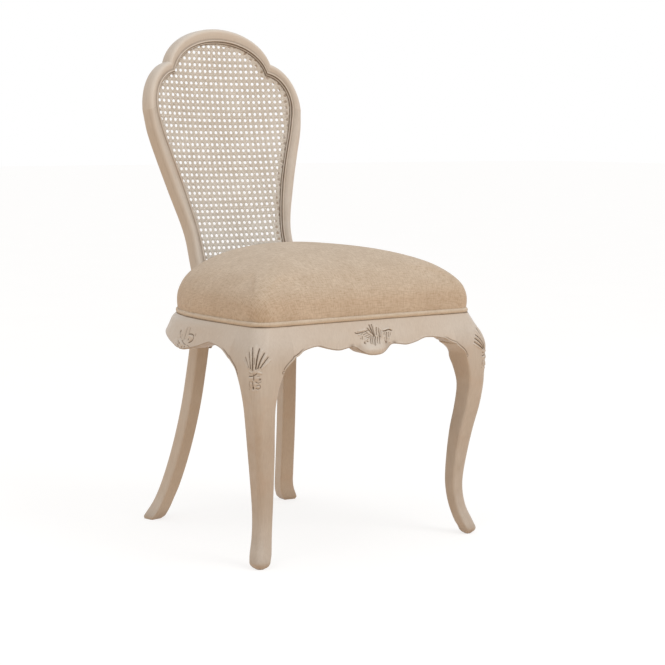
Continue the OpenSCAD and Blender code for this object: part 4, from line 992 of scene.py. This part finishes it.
# The foot and the part beside the posts are held
held = cushion.vertex_groups.new(name="held")
mm = start / MM
hold = (mm[:, 2] < RT + 9) | ((mm[:, 1] > 128) & (mm[:, 2] < RT + 120))
held.add(np.flatnonzero(hold).tolist(), 1.0, "REPLACE")
cloth = cushion.modifiers.new("stuffing", "CLOTH")
cloth.settings.use_pressure = True
cloth.settings.uniform_pressure_force = 4
cloth.settings.effector_weights.gravity = 0
cloth.settings.vertex_group_mass = "held"
cloth.settings.quality = 5
cloth.point_cache.frame_start, cloth.point_cache.frame_end = 1, FRAMES
for f in range(1, FRAMES + 1):
    bpy.context.scene.frame_set(f)
graph = bpy.context.evaluated_depsgraph_get()
move = coords(cushion.evaluated_get(graph).data) - start
cushion.modifiers.clear()
size = np.linalg.norm(move, axis=1, keepdims=True)
move = move * np.minimum(1, SWELL_CAP / np.maximum(size, 1e-9))
bpy.context.scene.frame_set(1)
# Slight pulls in the linen towards the piping and the posts
mm = (start + move) / MM
pull = 0.35 * wobble(mm * [1, 1, 0.35], 16, 2.0) * ease((RT + 60 - mm[:, 2]) / 60) + 0.5 * wobble(mm, 55, 5.0)
middle = np.array([0, -20, RT + 20])
mm = mm + unit(mm - middle) * (pull * ease((mm[:, 2] - RT - 4) / 12))[:, None]
mesh.vertices.foreach_set("co", (mm * MM).ravel())
bm = bmesh.new()
bm.from_mesh(mesh)
for _ in range(2):
    bmesh.ops.smooth_vert(bm, verts=bm.verts, factor=0.4, use_axis_x=True, use_axis_y=True, use_axis_z=True)
bm.to_mesh(mesh)
bm.free()
m = cushion.modifiers.new("finer", "SUBSURF")
m.levels = m.render_levels = 1
mesh = taken(cushion)
# Coordinates laid flat over the top and down the sides, for the weave
mm = coords(mesh) / MM
arm = mm[:, :2] - DOME_MID
side = unit(np.sign(arm) * np.abs(arm / 240)**2 + 1e-9)
drop = np.maximum(0, RT + DOME_H + CROWN_H * 0.6 - mm[:, 2:])
attach(mesh, "cloth", at_height(arm + side * drop * 0.9, 0.0) * MM)
mesh.polygons.foreach_set("use_smooth", [True] * len(mesh.polygons))
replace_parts(cushion, "seat_cover", "seat_foam")

# Piping: a covered cord that lies on the rails against the foot of the cushion
h = seat_half(40, 12, 90)[:-2]
path = np.concatenate([h[:0:-1] * [-1, 1], h])
path = mix(DOME_MID, path, 1 - DRAW_IN * (1 - 0.75 * PIPING_D / FULL_H) / HALF_W)
out = right_of(np.gradient(path, axis=0))
angles = np.linspace(0, 2 * math.pi, 17)[:-1]
rings, cloth_at = [], []
for p, o, q in zip(path, out, lengths(path)):
    r = PIPING_D / 2 * (1 + 0.025 * math.sin(q / 9) + 0.02 * math.sin(q / 3.7 + 1))
    rings.append(at_height(p + o * (PIPING_D / 2 - 0.5 + r * np.cos(angles))[:, None],
                           RT + LIP + PIPE_TALL * (PIPING_D / 2 + r * np.sin(angles))))
    cloth_at.append(np.stack([np.full(len(angles), q), angles * PIPING_D / 2, 0 * angles], -1))
piping = piece("seat_piping_cord", rings, "piping", cloth=np.array(cloth_at), angle=70)
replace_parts(piping, "seat_piping")

# Dust cover: thin dark cloth stretched under the seat board, a little slack in the middle, inside the hem
# of the cushion's cover
COVER_T, HEM_W, FREE, UNDER = 1.4, 16, 1.5, 0.9
front = float(curve(POST, RT, 2)) - POST_T / 2 - HEM_W / 2 - FREE
edge = inset(both_halves(seat_half(16, 8, 40)), HEM_W + DRAW_IN + FREE)
for p in edge:
    if abs(p[0]) < 150:
        p[1] -= max(0, p[1] - (front - abs(p[0]) * math.tan(TURN)) / math.cos(TURN) * 0.985)
rings = []
for share in (1, 0.985, 0.95, 0.88, 0.78, 0.65, 0.5, 0.33, 0.16, 0.02):
    ripple = 0.25 * np.sin(np.arange(len(edge)) * 0.9) * share**6
    z = RT + COVER_T - UNDER - 2.2 * (1 - share**2) + ripple
    rings.append(at_height(mix(np.array([0, -40.0]), edge, share), z))
rings = np.array(rings)[:, ::-1]
dust = piece("dust_cover_cloth", rings, "dust_cloth", caps=False, cloth=rings)
x, y = edge.T * MM
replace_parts(dust, "dust_cover")

# Materials
LIGHT, SHADE, BROWN = (0.60, 0.555, 0.50), (0.57, 0.51, 0.445), (0.16, 0.105, 0.062)


class Nodes:
    """The shader nodes of a material or world, with short ways to add some."""

    def __init__(self, owner):
        owner.use_nodes = True
        self.tree = owner.node_tree
        self.tree.nodes.clear()

    def node(self, kind, values=None, **props):
        n = self.tree.nodes.new("ShaderNode" + kind)
        for k, v in props.items():
            setattr(n, k, v)
        for k, v in (values or {}).items():
            if isinstance(v, bpy.types.NodeSocket):
                self.tree.links.new(v, n.inputs[k])
            else:
                n.inputs[k].default_value = (*v, 1.0) if n.inputs[k].type == "RGBA" else v
        return n

    def first(self, kind, values=None, **props):
        return self.node(kind, values, **props).outputs[0]

    def place(self, output="Object"):
        return self.node("TexCoord").outputs[output]

    def attribute(self, name, output="Fac"):
        return self.node("Attribute", attribute_name=name).outputs[output]

    def noise(self, vector, scale, detail=2.0, rough=0.5, stretch=None):
        if stretch:
            vector = self.first("Mapping", {"Vector": vector, "Scale": stretch})
        values = {"Vector": vector, "Scale": scale, "Detail": detail, "Roughness": rough}
        return self.node("TexNoise", values).outputs["Fac"]

    def blend(self, factor, a, b):
        return self.node("Mix", {0: factor, 6: a, 7: b}, data_type="RGBA").outputs[2]

    def maths(self, operation, a, b, clamp=False):
        return self.first("Math", {0: a, 1: b}, operation=operation, use_clamp=clamp)

    def span(self, value, a, b, c=0.0, d=1.0):
        values = {"Value": value, "From Min": a, "From Max": b, "To Min": c, "To Max": d}
        return self.first("MapRange", values)

    def eye(self):
        """1 for what the camera sees, also in or through a shiny surface."""
        rays = self.node("LightPath").outputs
        seen = self.maths("MAXIMUM", rays["Is Camera Ray"], rays["Is Glossy Ray"])
        return self.maths("MAXIMUM", seen, rays["Is Transmission Ray"])

    def surface(self, color, roughness, bump=None, **settings):
        """Ends the material with its main shader; bump is a height, a strength and a distance."""
        values = {"Base Color": color, "Roughness": roughness}
        values.update({k.replace("_", " "): v for k, v in settings.items()})
        if bump:
            values["Normal"] = self.first("Bump", dict(zip(("Height", "Strength", "Distance"), bump)))
        self.node("OutputMaterial", {"Surface": self.first("BsdfPrincipled", values)})


def material(name):
    mat = bpy.data.materials.new(name)
    return mat, Nodes(mat)


def paint_material():
    """Old brushed paint: soft patches, brush marks, brown glaze and painted shade in the hollows and under
    the piping, rubbed edges and painted highlights.
    """
    mat, t = material("old_paint")
    at, glaze_shade_and_wear = t.place(), t.attribute("glaze")
    patches = t.noise(at, 38.0, 4.0, 0.6)
    brush = t.noise(at, 1.0, 3.0, 0.6, stretch=(420, 420, 26))
    color = t.blend(t.span(t.noise(at, 7.0, 3.0), 0.35, 0.65), LIGHT, SHADE)
    color = t.blend(t.span(patches, 0.45, 0.75, 0.0, 0.35), color, SHADE)
    color = t.blend(t.span(t.noise(at, 17.0, 3.0, 0.55), 0.55, 0.8, 0.0, 0.4), color, (0.55, 0.41, 0.31))
    color = t.blend(t.span(brush, 0.3, 0.7, 0.0, 0.13), color, BROWN)
    # Brown glaze together with painted shade
    thick = t.maths("MULTIPLY", glaze_shade_and_wear, t.span(patches, 0.3, 0.7, 0.75, 1.15), clamp=True)
    color = t.blend(thick, color, BROWN)
    # Rubbed lighter, with the painted highlight on the crest
    rubbed_and_lit = t.maths("MULTIPLY", t.span(glaze_shade_and_wear, -0.05, -0.3, 0.0, 0.7), t.span(brush, 0.3, 0.7, 0.4, 1.0))
    color = t.blend(rubbed_and_lit, color, tuple(v * 1.12 for v in LIGHT))
    height = t.maths("ADD", t.maths("MULTIPLY", brush, 0.7), t.maths("MULTIPLY", t.noise(at, 1500.0), 0.3))
    t.surface(color, t.span(patches, 0.3, 0.7, 0.40, 0.56), (height, 0.18, 0.0004), Specular_IOR_Level=0.4)
    return mat


def weave_material(name, light, dark, threads, depth, sheen=0.25, slub=0.5):
    """Plain-woven cloth: threads both ways with slubs, over coordinates laid flat on the cloth."""
    mat, t = material(name)
    at = t.attribute("cloth", "Vector")
    drift = t.node("TexNoise", {"Vector": at, "Scale": 60.0, "Detail": 1.0}).outputs["Color"]
    bend = t.first("VectorMath", {0: at, 1: t.first("VectorMath", {0: drift, 3: 0.0006}, operation="SCALE")},
                   operation="ADD")
    wave = {"Vector": bend, "Scale": threads / 2, "Distortion": 0.6, "Detail": 1.0}
    cloth = t.maths("MULTIPLY", *(
        t.node("TexWave", wave, wave_type="BANDS", bands_direction=way).outputs["Fac"] for way in "XY"))
    slubs = t.maths("ADD", *(
        t.span(t.noise(at, 1.0, 2.0, 0.6, stretch=size), 0.42, 0.72)
        for size in ((threads * 0.45, 64, 1), (64, threads * 0.45, 1))))
    patches = t.noise(t.place(), 22.0, 3.0)
    color = t.blend(t.span(patches, 0.35, 0.7), light, tuple(mix(a, b, 0.35) for a, b in zip(light, dark)))
    color = t.blend(t.maths("MULTIPLY", slubs, slub, clamp=True), color, dark)
    color = t.blend(t.span(cloth, 0.0, 0.5, 0.28, 0.0), color, dark)
    height = t.maths("ADD", cloth, t.maths("MULTIPLY", slubs, 0.6))
    t.surface(color, 0.9, (height, depth, 0.0005), Sheen_Weight=sheen, Sheen_Roughness=0.5,
              Specular_IOR_Level=0.25)
    return mat


def cane_material():
    """Painted cane: a hard skin with fine fibres, each strand a little different, and painted shadow beside
    the frame.
    """
    mat, t = material("painted_cane")
    at, tint = t.place(), t.attribute("glaze")
    fibre = t.noise(at, 900.0)
    color = t.blend(t.span(tint, 0.0, 0.5), (0.645, 0.62, 0.575), (0.56, 0.52, 0.465))
    color = t.blend(t.span(t.noise(at, 45.0, 3.0), 0.4, 0.75, 0.0, 0.5), color, (0.50, 0.45, 0.38))
    color = t.blend(t.span(fibre, 0.5, 0.75, 0.0, 0.4), color, (0.40, 0.30, 0.21))
    # Painted shadow: brown on the strands beside the frame
    color = t.blend(t.span(tint, 0.5, 1.0, 0.0, 0.75), color, BROWN)
    t.surface(color, t.span(fibre, 0.3, 0.7, 0.42, 0.6), (fibre, 0.25, 0.0003))
    return mat


def wood_material():
    """Bare beech inside the frame: long grain with short dark flecks."""
    mat, t = material("bare_beech")
    at = t.place()
    grain = t.noise(at, 1.0, 4.0, 0.6, stretch=(14, 160, 160))
    flecks = t.noise(at, 1.0, stretch=(160, 900, 900))
    color = t.blend(t.span(grain, 0.3, 0.7), (0.58, 0.39, 0.21), (0.44, 0.27, 0.13))
    color = t.blend(t.span(flecks, 0.6, 0.75, 0.0, 0.5), color, (0.27, 0.15, 0.07))
    t.surface(color, t.span(grain, 0.3, 0.7, 0.5, 0.7), (flecks, 0.2, 0.0003))
    return mat


def steel_material():
    mat, t = material("screw_steel")
    marks = t.noise(t.place(), 1.0, 3.0, stretch=(900, 900, 60))
    color = t.blend(t.span(marks, 0.35, 0.7), (0.46, 0.45, 0.43), (0.30, 0.28, 0.26))
    t.surface(color, t.span(marks, 0.3, 0.7, 0.28, 0.5), Metallic=1.0)
    return mat


def floor_material():
    """Pale floor that is white to the camera and keeps a soft shadow; to other rays it is warm and glows, a
    painted bounce light.
    """
    mat, t = material("pale_floor")
    grey = t.blend(t.noise(t.place(), 3.0), (0.30, 0.30, 0.30), (0.32, 0.32, 0.32))
    seen = t.first("AddShader", {0: t.first("BsdfDiffuse", {"Color": grey}),
                                 1: t.first("Emission", {"Color": (1, 1, 1), "Strength": 0.74})})
    # Painted light: a warm glowing floor lights the chair from below
    glowing_bounce = t.first("AddShader", {0: t.first("BsdfDiffuse", {"Color": (0.62, 0.47, 0.34)}),
                                 1: t.first("Emission", {"Color": (1, 0.66, 0.38), "Strength": 0.24})})
    t.node("OutputMaterial", {"Surface": t.first("MixShader", {0: t.eye(), 1: glowing_bounce, 2: seen})})
    return mat


beech, steel = wood_material(), steel_material()
FINISH = {
    "paint": paint_material(),
    "linen": weave_material("oatmeal_linen", (0.66, 0.56, 0.45), (0.41, 0.31, 0.215), 900.0, 0.35, slub=0.58),
    "piping": weave_material("piping_linen", (0.68, 0.60, 0.50), (0.48, 0.395, 0.30), 900.0, 0.35),
    "dust_cloth": weave_material("dust_cloth", (0.030, 0.029, 0.028), (0.012, 0.012, 0.012), 500.0, 0.5, 0.1),
    "cane": cane_material(), "beech": beech, "steel": steel}

for o in bpy.data.objects:
    if o.type == "MESH" and o.get("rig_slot") in FINISH and not o.get("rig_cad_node"):
        o.data.materials.clear()
        o.data.materials.append(FINISH[o["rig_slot"]])
for name, obj in frame["nodes"].items():
    for slot in obj.material_slots:
        slot.material = steel if "screw" in name else beech

# Floor, light and camera
FLOOR = np.array([(-1, -1, 0), (1, -1, 0), (1, 1, 0), (-1, 1, 0)]) * 30000
floor = solid("floor", FLOOR, [(0, 1, 2, 3)])
floor.data.materials.append(floor_material())

world = bpy.data.worlds.new("studio")
bpy.context.scene.world = world
t = Nodes(world)
height = t.node("SeparateXYZ", {0: t.place("Generated")}).outputs["Z"]
sky = t.blend(t.span(height, 0.0, 1.0), (0.74, 0.65, 0.555), (1.04, 1.04, 1.04))
t.node("OutputWorld", {"Surface": t.first("MixShader", {
    0: t.eye(), 1: t.first("Background", {"Color": sky, "Strength": 0.86}),
    2: t.first("Background", {"Color": (1, 1, 1), "Strength": 1.0})})})

LAMPS = [("key", (1.0, -3.0, 3.1), (0, 0, 0.5), 2.2, 44),
         ("side", (-2.3, -1.2, 3.4), (0, 0.25, 0.95), 1.8, 14)]
for name, place, target, size, power in LAMPS:
    data = bpy.data.lights.new(name, "AREA")
    data.shape, data.size, data.energy, data.color = "DISK", size, power, (1.0, 0.99, 0.98)
    lamp = linked(name, data)
    lamp.location = place
    lamp.rotation_euler = (Vector(target) - Vector(place)).to_track_quat("-Z", "Y").to_euler()

# The camera as solved from the photograph: focal length and width in pixels, place and directions
FOCAL, WIDTH, EYE = 1850, 665, Vector((-2.1387, -2.8806, 0.7849))
cam = bpy.data.cameras.new("camera")
cam.sensor_width = 36
cam.lens = cam.sensor_width * FOCAL / WIDTH
cam.clip_start, cam.clip_end = 0.1, 100
camera = linked("camera", cam)
right, look = Vector((0.78920, -0.61412, 0.00407)), Vector((0.61075, 0.78413, -0.11013))
up = right.cross(look)
camera.matrix_world = Matrix([(right[k], up[k], -look[k], EYE[k]) for k in range(3)] + [(0, 0, 0, 1)])
bpy.context.scene.camera = camera
bpy.context.scene.view_settings.view_transform = "Standard"
